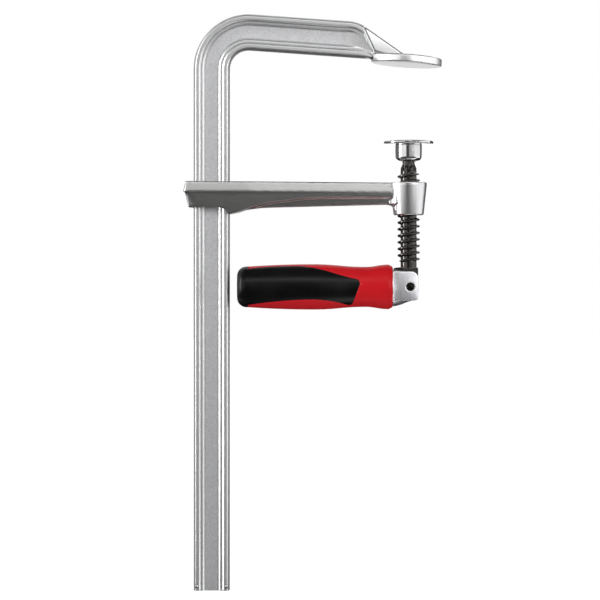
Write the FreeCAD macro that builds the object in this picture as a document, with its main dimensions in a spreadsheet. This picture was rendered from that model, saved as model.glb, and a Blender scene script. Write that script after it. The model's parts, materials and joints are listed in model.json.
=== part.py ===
import FreeCAD, Part
import math
import os

import Sketcher

# Screw clamp with a folding handle, millimetres, +Z up.
# The origin is on the screw's axis, where that axis meets the fixed jaw's face.
# +X points from the rail to the screw, +Y points to the back.

SIZES = [
    ("throat", 120.0, "screw axis to the rail's inner edge"),
    ("rail_width", 24.3, "rail, seen from the front"),
    ("rail_thickness", 11.5, "rail, front to back"),
    ("rail_chamfer", 2.0, "slant on the rail's long edges"),
    ("rail_lip", 4.4, "edge to the first step of the recess"),
    ("recess_bevel", 0.9, "width of each slanted step wall"),
    ("recess_ledge", 1.5, "width of the ledge between the steps"),
    ("recess_step", 0.95, "depth of each step"),
    ("rail_drop", 352.5, "jaw face to the rail's lower end"),
    ("bow_top", 34.0, "jaw face to the top of the bow"),
    ("bend_inner", 12.6, "inner radius of the bow"),
    ("jaw_tilt", 4.0, "slope of the bracket and the fixed jaw, degrees"),
    ("jaw_radius", 23.6, "fixed jaw disc"),
    ("jaw_thickness", 5.4, "fixed jaw disc"),
    ("jaw_shift", 1.5, "disc centre to the screw axis, towards the rail"),
    ("jaw_round", 1.1, "rounding of the disc's rim"),
    ("lip_end", 23.0, "screw axis to the foot of the bracket's lips"),
    ("lip_lean", 7.2, "run of the steep lip ends"),
    ("lip_turn", 11.8, "run of the rounded upper corner of the lips"),
    ("lip_drop", 3.2, "fall of that rounded corner"),
    ("lip_turn_radius", 24.0, "rounded upper corner of the lips"),
    ("lip_foot", 4.0, "foot of the lip ends above the jaw disc"),
    ("gusset_thickness", 6.4, "web from the bracket down to the jaw disc"),
    ("gusset_start", 28.4, "screw axis to the upper end of the web's slope"),
    ("gusset_height", 25.2, "jaw face to the upper end of the web's slope"),
    ("gusset_end", 0.6, "screw axis to the web's foot on the disc"),
    ("neck_start", 27.0, "screw axis to the narrow end of the forged neck"),
    ("neck_end", 9.0, "screw axis to the wide end of the forged neck"),
    ("neck_spread", 19.0, "half the neck's width at its wide end"),
    ("neck_height", 9.6, "jaw face to the top of the neck's narrow end"),
    ("stake_radius", 1.1, "staked bump that stops the arm at the rail's end"),
    ("stake_height", 0.5, "bump above the rail's face"),
    ("stake_rise", 3.0, "rail's end to the bump"),
    ("arm_top", -78.2, "top of the sliding arm beside the rail"),
    ("arm_fall", 1.0, "fall of the arm's top towards the screw"),
    ("arm_crease", -85.6, "forging's parting line"),
    ("arm_bottom", -95.8, "underside beside the rail"),
    ("arm_nose", -100.1, "lowest point behind the rail"),
    ("arm_end_wall", 6.7, "wall outside the rail at the parting line"),
    ("arm_half_width", 12.6, "half the arm's width at the rail"),
    ("arm_neck_half", 7.2, "half the arm's width beside the boss"),
    ("arm_draft", 12.0, "forging draft, degrees"),
    ("arm_step", 1.2, "lower half's edge inside the upper half's at the free end"),
    ("facet_length", 2.0, "slanted facet between the arm's side and the boss"),
    ("facet_depth", 1.2, "same facet, across the arm"),
    ("arm_web_half", 5.4, "half the thickness of the lower web"),
    ("nose_reach", 0.6, "nose from the rail's inner edge"),
    ("nose_run", 6.8, "curve from the underside to the nose"),
    ("nose_flat", 1.8, "flat on the nose"),
    ("rise_start", 1.4, "rise of the lower edge just after the nose"),
    ("rise_start_run", 6.0, "length of that rise"),
    ("ridge_middle", 8.8, "nose to the ridge, a third of the way along the arm"),
    ("ridge_middle_at", 39.0, "nose to that place"),
    ("ridge_high", 10.7, "nose to the straight part of the ridge"),
    ("ridge_high_at", 66.0, "nose to the start of the straight part"),
    ("web_rise", 4.3, "nose to the web's lower edge"),
    ("web_rise_at", 29.0, "nose to the start of the web's straight edge"),
    ("web_slope", 1.9, "rise of that edge towards the boss"),
    ("flare_run", 6.0, "curve from the web down to the boss"),
    ("flare_drop", 4.6, "same curve, downwards"),
    ("slot_play", 0.35, "rail slot clearance, each side"),
    ("corner_round", 2.6, "arm's upright corners"),
    ("boss_top", -78.8, "screw boss"),
    ("boss_bottom", -100.9, "screw boss"),
    ("boss_radius_top", 12.2, "screw boss"),
    ("boss_radius_bottom", 10.1, "screw boss"),
    ("boss_round", 0.8, "rounding of the boss's rims"),
    ("boss_belt", 2.0, "upright band under the boss's top"),
    ("flare_sink", 1.0, "web's end inside the boss"),
    ("thread_core", 5.4, "root radius of the screw"),
    ("thread_outer", 7.5, "crest radius of the screw"),
    ("thread_pitch", 4.4, "rise per turn, right-handed, one start"),
    ("thread_root_half", 1.15, "half the ridge's width at its root"),
    ("thread_crest_half", 0.6, "half the ridge's width at its crest"),
    ("thread_play", 0.27, "clearance between screw and boss threads"),
    ("thread_sink", 0.4, "ridge's root inside the screw's core"),
    ("thread_bottom", -133.5, "lower end of the thread"),
    ("thread_top", -71.0, "upper end of the thread"),
    ("ball_centre", -59.0, "middle of the ball end"),
    ("ball_radius", 5.6, "ball end"),
    ("neck_radius", 4.1, "neck under the ball"),
    ("neck_foot", -66.0, "where the neck begins to flare"),
    ("flute_count", 8.0, "grooves round the neck"),
    ("neck_flare", 9.0, "radius of the neck's foot"),
    ("neck_flare_gap", 1.0, "neck's foot above the thread"),
    ("flute_radius", 1.0, "grooves round the neck"),
    ("flute_depth", 0.3, "grooves round the neck"),
    ("flute_top", 0.4, "upper end of the grooves inside the cup"),
    ("flute_foot", 0.5, "lower end of the grooves below the thread's top"),
    ("head_top", -135.8, "shoulder under the screw's thread"),
    ("head_thickness", 9.0, "flat head between the fork's cheeks"),
    ("head_sink", 1.0, "screw's round part inside the head"),
    ("head_corner", 1.0, "upper corner of the head"),
    ("eye_radius", 5.5, "outer radius round the hinge pin"),
    ("eye_play", 0.1, "hinge pin to eye, radial"),
    ("lobe_reach", 10.1, "stop lobe from the screw's axis"),
    ("lobe_gap", 0.15, "stop lobe above the fork's shoulder"),
    ("lobe_corner", 2.2, "outer corner of the stop lobe"),
    ("lobe_corner_run", 2.6, "length of that corner"),
    ("lobe_corner_drop", 1.4, "height of that corner"),
    ("lobe_dip", 3.2, "radius where the lobe meets the thread"),
    ("lobe_dip_drop", 1.1, "depth of that place"),
    ("notch_radius", 1.8, "detent notches in the eye"),
    ("notch_depth", 0.8, "detent notches in the eye"),
    ("hinge_x", 0.8, "hinge pin from the screw's axis"),
    ("hinge_z", -149.0, "hinge pin and handle axis"),
    ("pin_radius", 2.65, "pressed hinge pin"),
    ("pin_chamfer", 0.4, "ends of the hinge pin"),
    ("pin_recess", 0.6, "pin ends below the fork's cheeks"),
    ("fork_half_width", 8.5, "half the distance over the cheeks"),
    ("fork_rise", 10.5, "hinge pin to the top of the cheeks"),
    ("fork_drop", 9.6, "hinge pin to the lower edge of the cheeks"),
    ("fork_nose", 5.4, "hinge pin to the fork's free end"),
    ("fork_corner", 4.7, "upper corner of the cheeks"),
    ("fork_lower_corner", 2.4, "lower corner of the cheeks"),
    ("fork_play", 0.4, "screw head to the slot's inner end"),
    ("fork_slope", 0.4, "rise of the cheeks' lower edge to the free end"),
    ("shoulder_run", 8.7, "length of the curve from the ferrule on to the cheeks"),
    ("shoulder_fall", 2.6, "fall of that curve"),
    ("shoulder_sweep", 26.0, "radius of that curve"),
    ("fork_sweep", 60.0, "radius of the curve on to the free end"),
    ("fork_tip_run", 1.2, "length of the rounded free end"),
    ("fork_tip_fall", 1.6, "its depth, twice"),
    ("fork_tip_round", 2.4, "its radius"),
    ("cheek_play", 0.2, "screw head to each cheek"),
    ("ferrule_radius", 13.1, "round part of the fork"),
    ("ferrule_face", 11.2, "hinge pin to the round part"),
    ("ferrule_depth", 3.2, "round part inside the handle"),
    ("mouth_play", 0.3, "gap round the ferrule in the handle's mouth"),
    ("tang_radius", 7.0, "tang inside the handle"),
    ("tang_flat", 5.4, "half the distance over the tang's flats"),
    ("tang_end", 60.0, "hinge pin to the end of the tang"),
    ("tang_chamfer", 1.0, "end of the tang"),
    ("post_at", 52.0, "hinge pin to the cross hole in the tang"),
    ("post_radius", 2.4, "cross hole that the core's plastic fills"),
    ("plunger_radius", 2.9, "detent plunger"),
    ("plunger_nose", 1.5, "rounded tip of the plunger"),
    ("plunger_length", 8.5, "detent plunger without its tip"),
    ("plunger_cone", 1.4, "slant behind the tip"),
    ("plunger_gap", 0.05, "tip clear of the eye"),
    ("bore_play", 0.1, "plunger to its bore, radial"),
    ("spring_wire", 0.7, "detent spring wire diameter"),
    ("spring_radius", 2.1, "detent spring, middle of the wire"),
    ("spring_pitch", 1.8, "detent spring"),
    ("spring_length", 14.4, "detent spring between its wire's ends"),
    ("spring_play", 0.2, "spring to its seats, each end"),
    ("handle_start", 11.8, "hinge pin to the handle's near end"),
    ("tail_gap", 4.9, "folded handle's far end to the rail"),
    ("handle_mouth", 13.8, "radius of the near end's face"),
    ("handle_bevel", 2.4, "length of the slant at the near end"),
    ("handle_flare", 15.0, "radius at the near end"),
    ("handle_waist", 13.45, "radius at the waist"),
    ("handle_belly", 15.25, "largest radius"),
    ("handle_tail", 13.7, "radius at the far end"),
    ("handle_tail_round", 6.2, "rounding of the far end"),
    ("waist_share", 0.1748, "near end to the waist, share of the handle's length"),
    ("belly_share", 0.5043, "near end to the largest radius, share of the length"),
    ("tail_cap", 7.3, "far end to the start of the end cap"),
    ("grip_depth", 2.2, "thickness of the soft inlay"),
    ("panel_tail_up", 12.1, "inlay's upper edge at the end cap, above the handle's axis"),
    ("panel_tail_down", 12.2, "inlay's lower edge at the end cap, below the axis"),
    ("panel_crest", 13.8, "highest point of the inlay"),
    ("panel_crest_at", 8.4, "largest radius to the inlay's highest point"),
    ("panel_slope", 8.9, "inlay's upper edge on the way down"),
    ("panel_slope_at", 13.9, "largest radius to that place"),
    ("panel_tip_up", 5.1, "upper corner at the fork's side"),
    ("panel_tip_out", 2.1, "same corner, after its curve"),
    ("panel_tip_at", 3.6, "waist to the inlay's end"),
    ("panel_tip_run", 2.2, "length of that corner's curve"),
    ("panel_heel", 10.7, "lower corner at the fork's side"),
    ("panel_heel_low", 12.2, "same corner, after its curve"),
    ("panel_heel_at", 8.3, "waist to the lower corner"),
    ("panel_arch", 8.5, "highest point of the inlay's lower edge"),
    ("panel_corner", 3.4, "corner radius of the inlay"),
    ("arch_sweep", 300.0, "curve of the inlay's lower edge, end cap to arch"),
    ("heel_sweep", 90.0, "curve of the inlay's lower edge, arch to heel"),
    ("slope_sweep", 150.0, "curve of the inlay's upper edge, tip to slope"),
    ("crest_sweep", 90.0, "curve of the inlay's upper edge, slope to crest"),
    ("tail_sweep", 250.0, "curve of the inlay's upper edge, crest to end cap"),
    ("plate_top", -51.1, "clamping face of the pressure plate"),
    ("plate_radius", 16.7, "pressure plate"),
    ("plate_rim", 1.5, "thickness at the rim"),
    ("plate_thickness", 2.7, "thickness near the cup"),
    ("cup_radius", 8.9, "swivel cup"),
    ("cup_bottom", -64.7, "swivel cup"),
    ("cup_round", 3.2, "lower rounding of the cup"),
    ("cup_mouth", 5.5, "opening under the ball"),
    ("liner_gap", 0.15, "between ball, liner and cup"),
    ("liner_wall", 0.95, "snap liner and thrust cap"),
    ("cap_angle", 38.0, "half angle of the thrust cap, degrees"),
    ("liner_start", 50.0, "liner's upper edge from the axis, degrees"),
    ("liner_end", 124.0, "liner's lower edge from the axis, degrees"),
    ("liner_slits", 6.0, "slits in the snap liner"),
    ("slit_width", 0.8, "slits in the snap liner"),
    ("cut_margin", 4.0, "how far a cutting sketch reaches past the metal"),
]

doc = FreeCAD.newDocument("screw_clamp")
sheet = doc.addObject("Spreadsheet::Sheet", "sizes")
for row, (alias, value, note) in enumerate(SIZES, start=1):
    sheet.set(f"A{row}", alias)
    sheet.set(f"B{row}", str(value))
    sheet.set(f"C{row}", note)
    sheet.setAlias(f"B{row}", alias)
doc.recompute()


class Size:
    """A number together with the formula that gives it, so both stay in step."""

    def __init__(self, value, text):
        self.value = value
        self.text = text

    def __add__(self, other):
        other = as_size(other)
        return Size(self.value + other.value, f"({self.text} + {other.text})")

    def __sub__(self, other):
        other = as_size(other)
        return Size(self.value - other.value, f"({self.text} - {other.text})")

    def __mul__(self, other):
        other = as_size(other)
        return Size(self.value * other.value, f"({self.text} * {other.text})")

    def __truediv__(self, other):
        other = as_size(other)
        return Size(self.value / other.value, f"({self.text} / {other.text})")

    def __neg__(self):
        return Size(-self.value, f"(0 - {self.text})")

    __radd__ = __add__
    __rmul__ = __mul__

    def __rsub__(self, other):
        return as_size(other) - self


def as_size(number):
    return number if isinstance(number, Size) else Size(float(number), f"({float(number)})")


def size(alias):
    return Size(float(sheet.get(alias)), f"sizes.{alias}")


def sine(angle):
    return Size(math.sin(math.radians(angle.value)), f"sin({angle.text})")


def cosine(angle):
    return Size(math.cos(math.radians(angle.value)), f"cos({angle.text})")


def tangent(angle):
    return Size(math.tan(math.radians(angle.value)), f"tan({angle.text})")


def root(number):
    return Size(math.sqrt(number.value), f"sqrt({number.text})")


def whole(number):
    return Size(float(math.floor(number.value)), f"floor({number.text})")


def bind(thing, name, number):
    thing.setExpression(name, number.text)


def new_body(label):
    body = doc.addObject("PartDesign::Body", label)
    body.Label = label
    return body


def origin_feature(body, role):
    return [part for part in body.Origin.OriginFeatures if part.Role == role][0]


def sketch_on(body, name, role="XY_Plane", lift=None):
    """A sketch on one of the body's own planes; lift moves it along the plane's normal."""
    sketch = body.newObject("Sketcher::SketchObject", name)
    sketch.AttachmentSupport = (origin_feature(body, role), [""])
    sketch.MapMode = "FlatFace"
    if lift is not None:
        sketch.setExpression("AttachmentOffset.Base.z", lift.text)
    return sketch


def fix_point(sketch, piece, end, across, up):
    """Ties one point of the sketch to two formulas, measured from the sketch's origin."""
    for kind, number in (("DistanceX", across), ("DistanceY", up)):
        index = sketch.addConstraint(Sketcher.Constraint(kind, -1, 1, piece, end, number.value))
        sketch.setExpression(f"Constraints[{index}]", number.text)


def outline(sketch, corners, closed=True):
    """Draws straight runs and arcs. A corner is (x, y), or (x, y, radius, side) for an arc
    that arrives there: side +1 bulges to the left of the way from the last corner, -1 right."""
    points = [(as_size(corner[0]), as_size(corner[1])) for corner in corners]
    first = 0 if closed else 1
    pieces = []
    for number in range(first, len(corners)):
        (start_x, start_y), (end_x, end_y) = points[number - 1], points[number]
        start = FreeCAD.Vector(start_x.value, start_y.value, 0)
        end = FreeCAD.Vector(end_x.value, end_y.value, 0)
        if len(corners[number]) == 2:
            index = sketch.addGeometry(Part.LineSegment(start, end))
            pieces.append((index, 1, 2, None))
            continue
        radius, side = as_size(corners[number][2]), corners[number][3]
        middle = (start + end) * 0.5
        way = end - start
        left = FreeCAD.Vector(-way.y, way.x, 0).normalize()
        reach = math.sqrt(max(radius.value ** 2 - (way.Length / 2) ** 2, 0.0))
        centre = middle - left * (side * reach)
        first_spoke, last_spoke = (end - centre, start - centre) if side > 0 else (
            start - centre, end - centre)
        first_angle = math.atan2(first_spoke.y, first_spoke.x)
        sweep = (math.atan2(last_spoke.y, last_spoke.x) - first_angle) % (math.pi * 2)
        ring = Part.Circle(centre, FreeCAD.Vector(0, 0, 1), radius.value)
        index = sketch.addGeometry(Part.ArcOfCircle(ring, first_angle, first_angle + sweep))
        ends = (2, 1) if side > 0 else (1, 2)
        pieces.append((index, ends[0], ends[1], radius))
    for number, (index, start_end, far_end, radius) in enumerate(pieces):
        end_x, end_y = points[first + number]
        fix_point(sketch, index, far_end, end_x, end_y)
        if radius is not None:
            rule = sketch.addConstraint(Sketcher.Constraint("Radius", index, radius.value))
            sketch.setExpression(f"Constraints[{rule}]", radius.text)
        if number > 0 or closed:
            last_index, _, last_end, _ = pieces[number - 1]
            sketch.addConstraint(
                Sketcher.Constraint("Coincident", last_index, last_end, index, start_end))
        else:
            fix_point(sketch, index, start_end, points[0][0], points[0][1])


def circle(sketch, across, up, radius):
    across, up, radius = as_size(across), as_size(up), as_size(radius)
    centre = FreeCAD.Vector(across.value, up.value, 0)
    index = sketch.addGeometry(Part.Circle(centre, FreeCAD.Vector(0, 0, 1), radius.value))
    fix_point(sketch, index, 3, across, up)
    rule = sketch.addConstraint(Sketcher.Constraint("Radius", index, radius.value))
    sketch.setExpression(f"Constraints[{rule}]", radius.text)


def pad(body, sketch, length, both=False, backwards=False, draft=None):
    feature = body.newObject("PartDesign::Pad", f"{sketch.Name}_pad")
    feature.Profile = sketch
    feature.SideType = "Symmetric" if both else "One side"
    feature.Reversed = backwards
    bind(feature, "Length", as_size(length))
    if draft is not None:
        bind(feature, "TaperAngle", draft)
    return finish(feature)


def pocket(body, sketch, length, both=False, backwards=False):
    before = body.Tip.Shape.Volume
    feature = body.newObject("PartDesign::Pocket", f"{sketch.Name}_pocket")
    feature.Profile = sketch
    feature.SideType = "Symmetric" if both else "One side"
    feature.Reversed = backwards
    bind(feature, "Length", as_size(length))
    finish(feature)
    if feature.Shape.Volume > before - 1e-6:
        raise RuntimeError(f"{feature.Label} cuts nothing")
    return feature


def revolve(body, sketch, kind="Revolution", axis="V_Axis"):
    feature = body.newObject(f"PartDesign::{kind}", f"{sketch.Name}_turned")
    feature.Profile = sketch
    feature.ReferenceAxis = (sketch, [axis])
    feature.Angle = 360
    return finish(feature)


def helix(body, sketch, kind, pitch, height):
    feature = body.newObject(f"PartDesign::{kind}", f"{sketch.Name}_helix")
    feature.Profile = sketch
    feature.ReferenceAxis = (sketch, ["V_Axis"])
    feature.Mode = "pitch-height-angle"
    feature.LeftHanded = False
    bind(feature, "Pitch", pitch)
    bind(feature, "Height", height)
    return finish(feature)


def repeat_round(body, feature, axis_role, count):
    pattern = body.newObject("PartDesign::PolarPattern", f"{feature.Name}_round")
    pattern.Originals = [feature]
    pattern.Axis = (origin_feature(body, axis_role), [""])
    pattern.Angle = 360
    bind(pattern, "Occurrences", count)
    body.Tip = pattern
    return finish(pattern)


def finish(feature):
    doc.recompute()
    if "Invalid" in feature.State or "Error" in feature.State or not feature.Shape.isValid():
        raise RuntimeError(f"{feature.Label} failed: {feature.State}")
    return feature


margin = size("cut_margin")

# Rail, bow and fixed jaw: one bar, drawn to an I-like section, bent and forged at its end.

rail_half = size("rail_width") / 2
rail_side = size("rail_thickness") / 2
rail_axis = -(size("throat") + rail_half)
lip_edge = rail_half - size("rail_lip")
ledge_edge = lip_edge - size("recess_bevel")
ledge_inner = ledge_edge - size("recess_ledge")
web_edge = ledge_inner - size("recess_bevel")
ledge_side = rail_side - size("recess_step")
web_side = ledge_side - size("recess_step")

rail = new_body("rail_and_fixed_jaw")
section = sketch_on(rail, "rail_section", lift=-size("rail_drop"))
quarter = [
    (rail_half, rail_side - size("rail_chamfer")),
    (rail_half - size("rail_chamfer"), rail_side),
    (lip_edge, rail_side),
    (ledge_edge, ledge_side),
    (ledge_inner, ledge_side),
    (web_edge, web_side),
]
section_corners = [(rail_axis + x, y) for x, y in quarter]
section_corners += [(rail_axis - x, y) for x, y in reversed(quarter)]
section_corners += [(rail_axis - x, -y) for x, y in quarter]
section_corners += [(rail_axis + x, -y) for x, y in reversed(quarter)]
outline(section, section_corners)

bend_middle = size("bend_inner") + rail_half
bow_centre_x = rail_axis + bend_middle
bow_centre_z = size("bow_top") - size("bend_inner") - size("rail_width")
lean_sine = sine(size("jaw_tilt"))
lean_cosine = cosine(size("jaw_tilt"))
bracket_start_x = bow_centre_x + bend_middle * lean_sine
bracket_start_z = bow_centre_z + bend_middle * lean_cosine
bracket_run = -bracket_start_x - size("lip_end") + margin
bracket_end_z = bracket_start_z - bracket_run * tangent(size("jaw_tilt"))
route = sketch_on(rail, "rail_route", "XZ_Plane")
outline(route, [
    (rail_axis, -size("rail_drop")),
    (rail_axis, bow_centre_z),
    (bracket_start_x, bracket_start_z, bend_middle, 1),
    (bracket_start_x + bracket_run, bracket_end_z),
], closed=False)
bar = rail.newObject("PartDesign::AdditivePipe", "rail_bar")
bar.Profile = section
bar.Spine = route
finish(bar)


def bracket_surface(x, above):
    """Height of the bracket's top (above = 1) or underside (above = -1) at x."""
    middle = bracket_start_z - (x - bracket_start_x) * tangent(size("jaw_tilt"))
    return middle + rail_half * above / lean_cosine


lip_foot_x = -size("lip_end")
lip_top_x = lip_foot_x - size("lip_lean")
lip_shoulder_x = lip_top_x - size("lip_turn")
lip_top_z = bracket_surface(lip_shoulder_x, 1)
beyond_jaw = size("jaw_radius") * 2
end_cut = sketch_on(rail, "lip_ends", "XZ_Plane")
outline(end_cut, [
    (lip_shoulder_x, lip_top_z * 2),
    (lip_shoulder_x, lip_top_z),
    (lip_top_x, lip_top_z - size("lip_drop"), size("lip_turn_radius"), 1),
    (lip_foot_x, size("jaw_thickness") + size("lip_foot")),
    (lip_foot_x, -size("jaw_thickness")),
    (beyond_jaw, -size("jaw_thickness")),
    (beyond_jaw, lip_top_z * 2),
])
pocket(rail, end_cut, size("rail_thickness") * 2, both=True)

neck_low = size("jaw_thickness") / 4
narrow = sketch_on(rail, "neck_narrow_end", "YZ_Plane", lift=-size("neck_start"))
outline(narrow, [
    (-rail_side, bracket_surface(-size("neck_start"), -1) + size("rail_chamfer")),
    (rail_side, bracket_surface(-size("neck_start"), -1) + size("rail_chamfer")),
    (rail_side, size("neck_height")),
    (-rail_side, size("neck_height")),
])
wide = sketch_on(rail, "neck_wide_end", "YZ_Plane", lift=-size("neck_end"))
outline(wide, [
    (-size("neck_spread"), neck_low),
    (size("neck_spread"), neck_low),
    (size("neck_spread"), size("jaw_thickness") - neck_low / 2),
    (-size("neck_spread"), size("jaw_thickness") - neck_low / 2),
])
neck = rail.newObject("PartDesign::AdditiveLoft", "jaw_neck")
neck.Profile = narrow
neck.Sections = [wide]
neck.Ruled = True
finish(neck)

jaw = sketch_on(rail, "jaw_disc", "XZ_Plane")
jaw.AttachmentOffset = FreeCAD.Placement(
    FreeCAD.Vector(0, 0, 0), FreeCAD.Rotation(FreeCAD.Vector(0, 0, -1), size("jaw_tilt").value))
bind(jaw, "AttachmentOffset.Rotation.Angle", size("jaw_tilt"))
bind(jaw, "AttachmentOffset.Base.x", -size("jaw_shift") * lean_cosine)
bind(jaw, "AttachmentOffset.Base.y", size("jaw_shift") * lean_sine)
jaw_edge = size("jaw_radius")
jaw_round = size("jaw_round")
outline(jaw, [
    (0, 0),
    (jaw_edge - jaw_round, 0),
    (jaw_edge, jaw_round, jaw_round, -1),
    (jaw_edge, size("jaw_thickness") - jaw_round),
    (jaw_edge - jaw_round, size("jaw_thickness"), jaw_round, -1),
    (0, size("jaw_thickness")),
])
revolve(rail, jaw)

gusset = sketch_on(rail, "jaw_web", "XZ_Plane")
gusset_low = size("jaw_thickness") / 2
outline(gusset, [
    (lip_shoulder_x, gusset_low * 4),
    (lip_shoulder_x, size("gusset_height")),
    (-size("gusset_start"), size("gusset_height")),
    (-size("gusset_end"), size("jaw_thickness")),
    (-size("gusset_end"), gusset_low),
    (lip_foot_x, gusset_low),
])
pad(rail, gusset, size("gusset_thickness"), both=True)

stakes = sketch_on(rail, "end_stakes", "XZ_Plane")
for side in (-1, 1):
    stake_x = rail_axis + (rail_half - size("rail_lip") / 2) * side
    circle(stakes, stake_x, size("stake_rise") - size("rail_drop"), size("stake_radius"))
pad(rail, stakes, size("rail_thickness") + size("stake_height") * 2, both=True)

# Sliding arm: a forging with a slot for the rail and a threaded boss for the screw.

arm = new_body("sliding_arm")
arm_left = -(size("throat") + size("rail_width") + size("arm_end_wall"))
head_right = -(size("throat") - size("arm_half_width"))
neck_x = -size("boss_radius_top") + size("facet_depth")
facet_x = neck_x + size("facet_length")
facet_half = size("arm_neck_half") + size("facet_depth")
corner_round = size("corner_round")


def arm_plan(sketch, inset):
    """The arm seen from above at its parting line; inset draws in the end at the rail."""
    left = arm_left + inset
    half = size("arm_half_width") - inset / 2
    outline(sketch, [
        (left, -half + corner_round),
        (left + corner_round, -half, corner_round, -1),
        (head_right, -half),
        (neck_x, -size("arm_neck_half")),
        (0, -size("arm_neck_half")),
        (0, size("arm_neck_half")),
        (neck_x, size("arm_neck_half")),
        (head_right, half),
        (left + corner_round, half),
        (left, half - corner_round, corner_round, -1),
    ])


upper_plan = sketch_on(arm, "arm_upper_plan", lift=size("arm_crease"))
arm_plan(upper_plan, as_size(0))
pad(arm, upper_plan, size("arm_top") - size("arm_crease"), draft=-size("arm_draft"))
lower_plan = sketch_on(arm, "arm_lower_plan", lift=size("arm_crease"))
arm_plan(lower_plan, size("arm_step"))
pad(arm, lower_plan, size("arm_crease") - size("arm_nose"), backwards=True,
    draft=-size("arm_draft"))

top_slope = sketch_on(arm, "arm_top_slope", "XZ_Plane")
outline(top_slope, [
    (arm_left, size("arm_top")),
    (0, size("arm_top") - size("arm_fall")),
    (size("boss_radius_top"), size("arm_top") - size("arm_fall")),
    (size("boss_radius_top"), size("arm_top") + size("arm_fall")),
    (arm_left, size("arm_top") + size("arm_fall")),
])
pocket(arm, top_slope, size("arm_half_width") * 4, both=True)

nose_x = -(size("throat") + size("nose_reach"))
nose_z = size("arm_nose")
rise_x = nose_x + size("nose_flat") + size("rise_start_run")
below = nose_z - size("throat") / 4
below_rail = sketch_on(arm, "arm_underside", "XZ_Plane")
outline(below_rail, [
    (arm_left * 1.1, size("arm_bottom")),
    (nose_x - size("nose_run"), size("arm_bottom")),
    (nose_x, nose_z, size("nose_run") * 1.2, 1),
    (nose_x + size("nose_flat"), nose_z),
    (rise_x, nose_z + size("rise_start")),
    (nose_x + size("ridge_middle_at"), nose_z + size("ridge_middle"), size("throat"), 1),
    (nose_x + size("ridge_high_at"), nose_z + size("ridge_high"), size("throat") * 1.7, 1),
    (size("boss_radius_top"), nose_z + size("ridge_high")),
    (size("boss_radius_top"), below),
    (arm_left * 1.1, below),
])
pocket(arm, below_rail, size("arm_half_width") * 4, both=True)

web = sketch_on(arm, "arm_web", "XZ_Plane")
flare_x = -size("boss_radius_bottom") + size("flare_sink")
web_end_z = nose_z + size("web_rise") + size("web_slope")
outline(web, [
    (nose_x + size("nose_flat"), size("arm_crease")),
    (nose_x + size("nose_flat"), nose_z + size("rise_start") / 4),
    (nose_x + size("web_rise_at"), nose_z + size("web_rise"), size("throat") * 0.9, 1),
    (flare_x - size("flare_run"), web_end_z),
    (flare_x, web_end_z - size("flare_drop"), size("flare_run"), 1),
    (0, web_end_z - size("flare_drop")),
    (0, size("arm_crease")),
])
pad(arm, web, size("arm_web_half") * 2, both=True)

facets = sketch_on(arm, "boss_facets", lift=size("arm_top") - size("arm_fall"))
outline(facets, [
    (neck_x - size("facet_depth"), -size("arm_web_half")),
    (facet_x, -facet_half),
    (0, -facet_half),
    (0, facet_half),
    (facet_x, facet_half),
    (neck_x - size("facet_depth"), size("arm_web_half")),
])
facet_drop = size("arm_top") - size("arm_fall") - web_end_z
pad(arm, facets, facet_drop, backwards=True)

boss = sketch_on(arm, "screw_boss", "XZ_Plane")
boss_round = size("boss_round")
outline(boss, [
    (0, size("boss_bottom")),
    (size("boss_radius_bottom") - boss_round, size("boss_bottom")),
    (size("boss_radius_bottom"), size("boss_bottom") + boss_round, boss_round, -1),
    (size("boss_radius_top"), size("boss_top") - size("boss_belt")),
    (size("boss_radius_top"), size("boss_top") - boss_round),
    (size("boss_radius_top") - boss_round, size("boss_top"), boss_round, -1),
    (0, size("boss_top")),
])
revolve(arm, boss)

rail_slot = sketch_on(arm, "rail_slot", lift=size("arm_top") + margin)
slot_half_x = rail_half + size("slot_play")
slot_half_y = rail_side + size("slot_play")
outline(rail_slot, [
    (rail_axis - slot_half_x, -slot_half_y),
    (rail_axis + slot_half_x, -slot_half_y),
    (rail_axis + slot_half_x, slot_half_y),
    (rail_axis - slot_half_x, slot_half_y),
])
pocket(arm, rail_slot, size("arm_top") - size("arm_nose") + margin * 2)

nut_radius = size("thread_core") + size("thread_play")
bore = sketch_on(arm, "screw_bore", lift=size("boss_top") + margin)
circle(bore, 0, 0, nut_radius)
pocket(arm, bore, size("boss_top") - size("boss_bottom") + margin * 2)

turns_down = whole((size("boss_bottom") - size("thread_bottom")) / size("thread_pitch")) - 1
thread_low = size("thread_bottom") + size("thread_root_half")
nut_start = thread_low + turns_down * size("thread_pitch")
nut_height = size("boss_top") - nut_start + size("thread_pitch")


def thread_profile(sketch, low, play):
    """Section of the ridge, or of the groove it runs in when play is above nothing."""
    sunk = size("thread_sink")
    flank = (size("thread_root_half") - size("thread_crest_half")) / (
        size("thread_outer") - size("thread_core"))
    root_half = size("thread_root_half") + flank * sunk + play
    outline(sketch, [
        (sunk - size("thread_core"), low - root_half),
        (-size("thread_outer") - play, low - size("thread_crest_half") - play),
        (-size("thread_outer") - play, low + size("thread_crest_half") + play),
        (sunk - size("thread_core"), low + root_half),
    ])


nut_thread = sketch_on(arm, "nut_thread", "XZ_Plane")
thread_profile(nut_thread, nut_start, size("thread_play"))
helix(arm, nut_thread, "SubtractiveHelix", size("thread_pitch"), nut_height)

# Screw: ball end, fluted neck, thread, and a flat head with the hinge eye.

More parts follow.
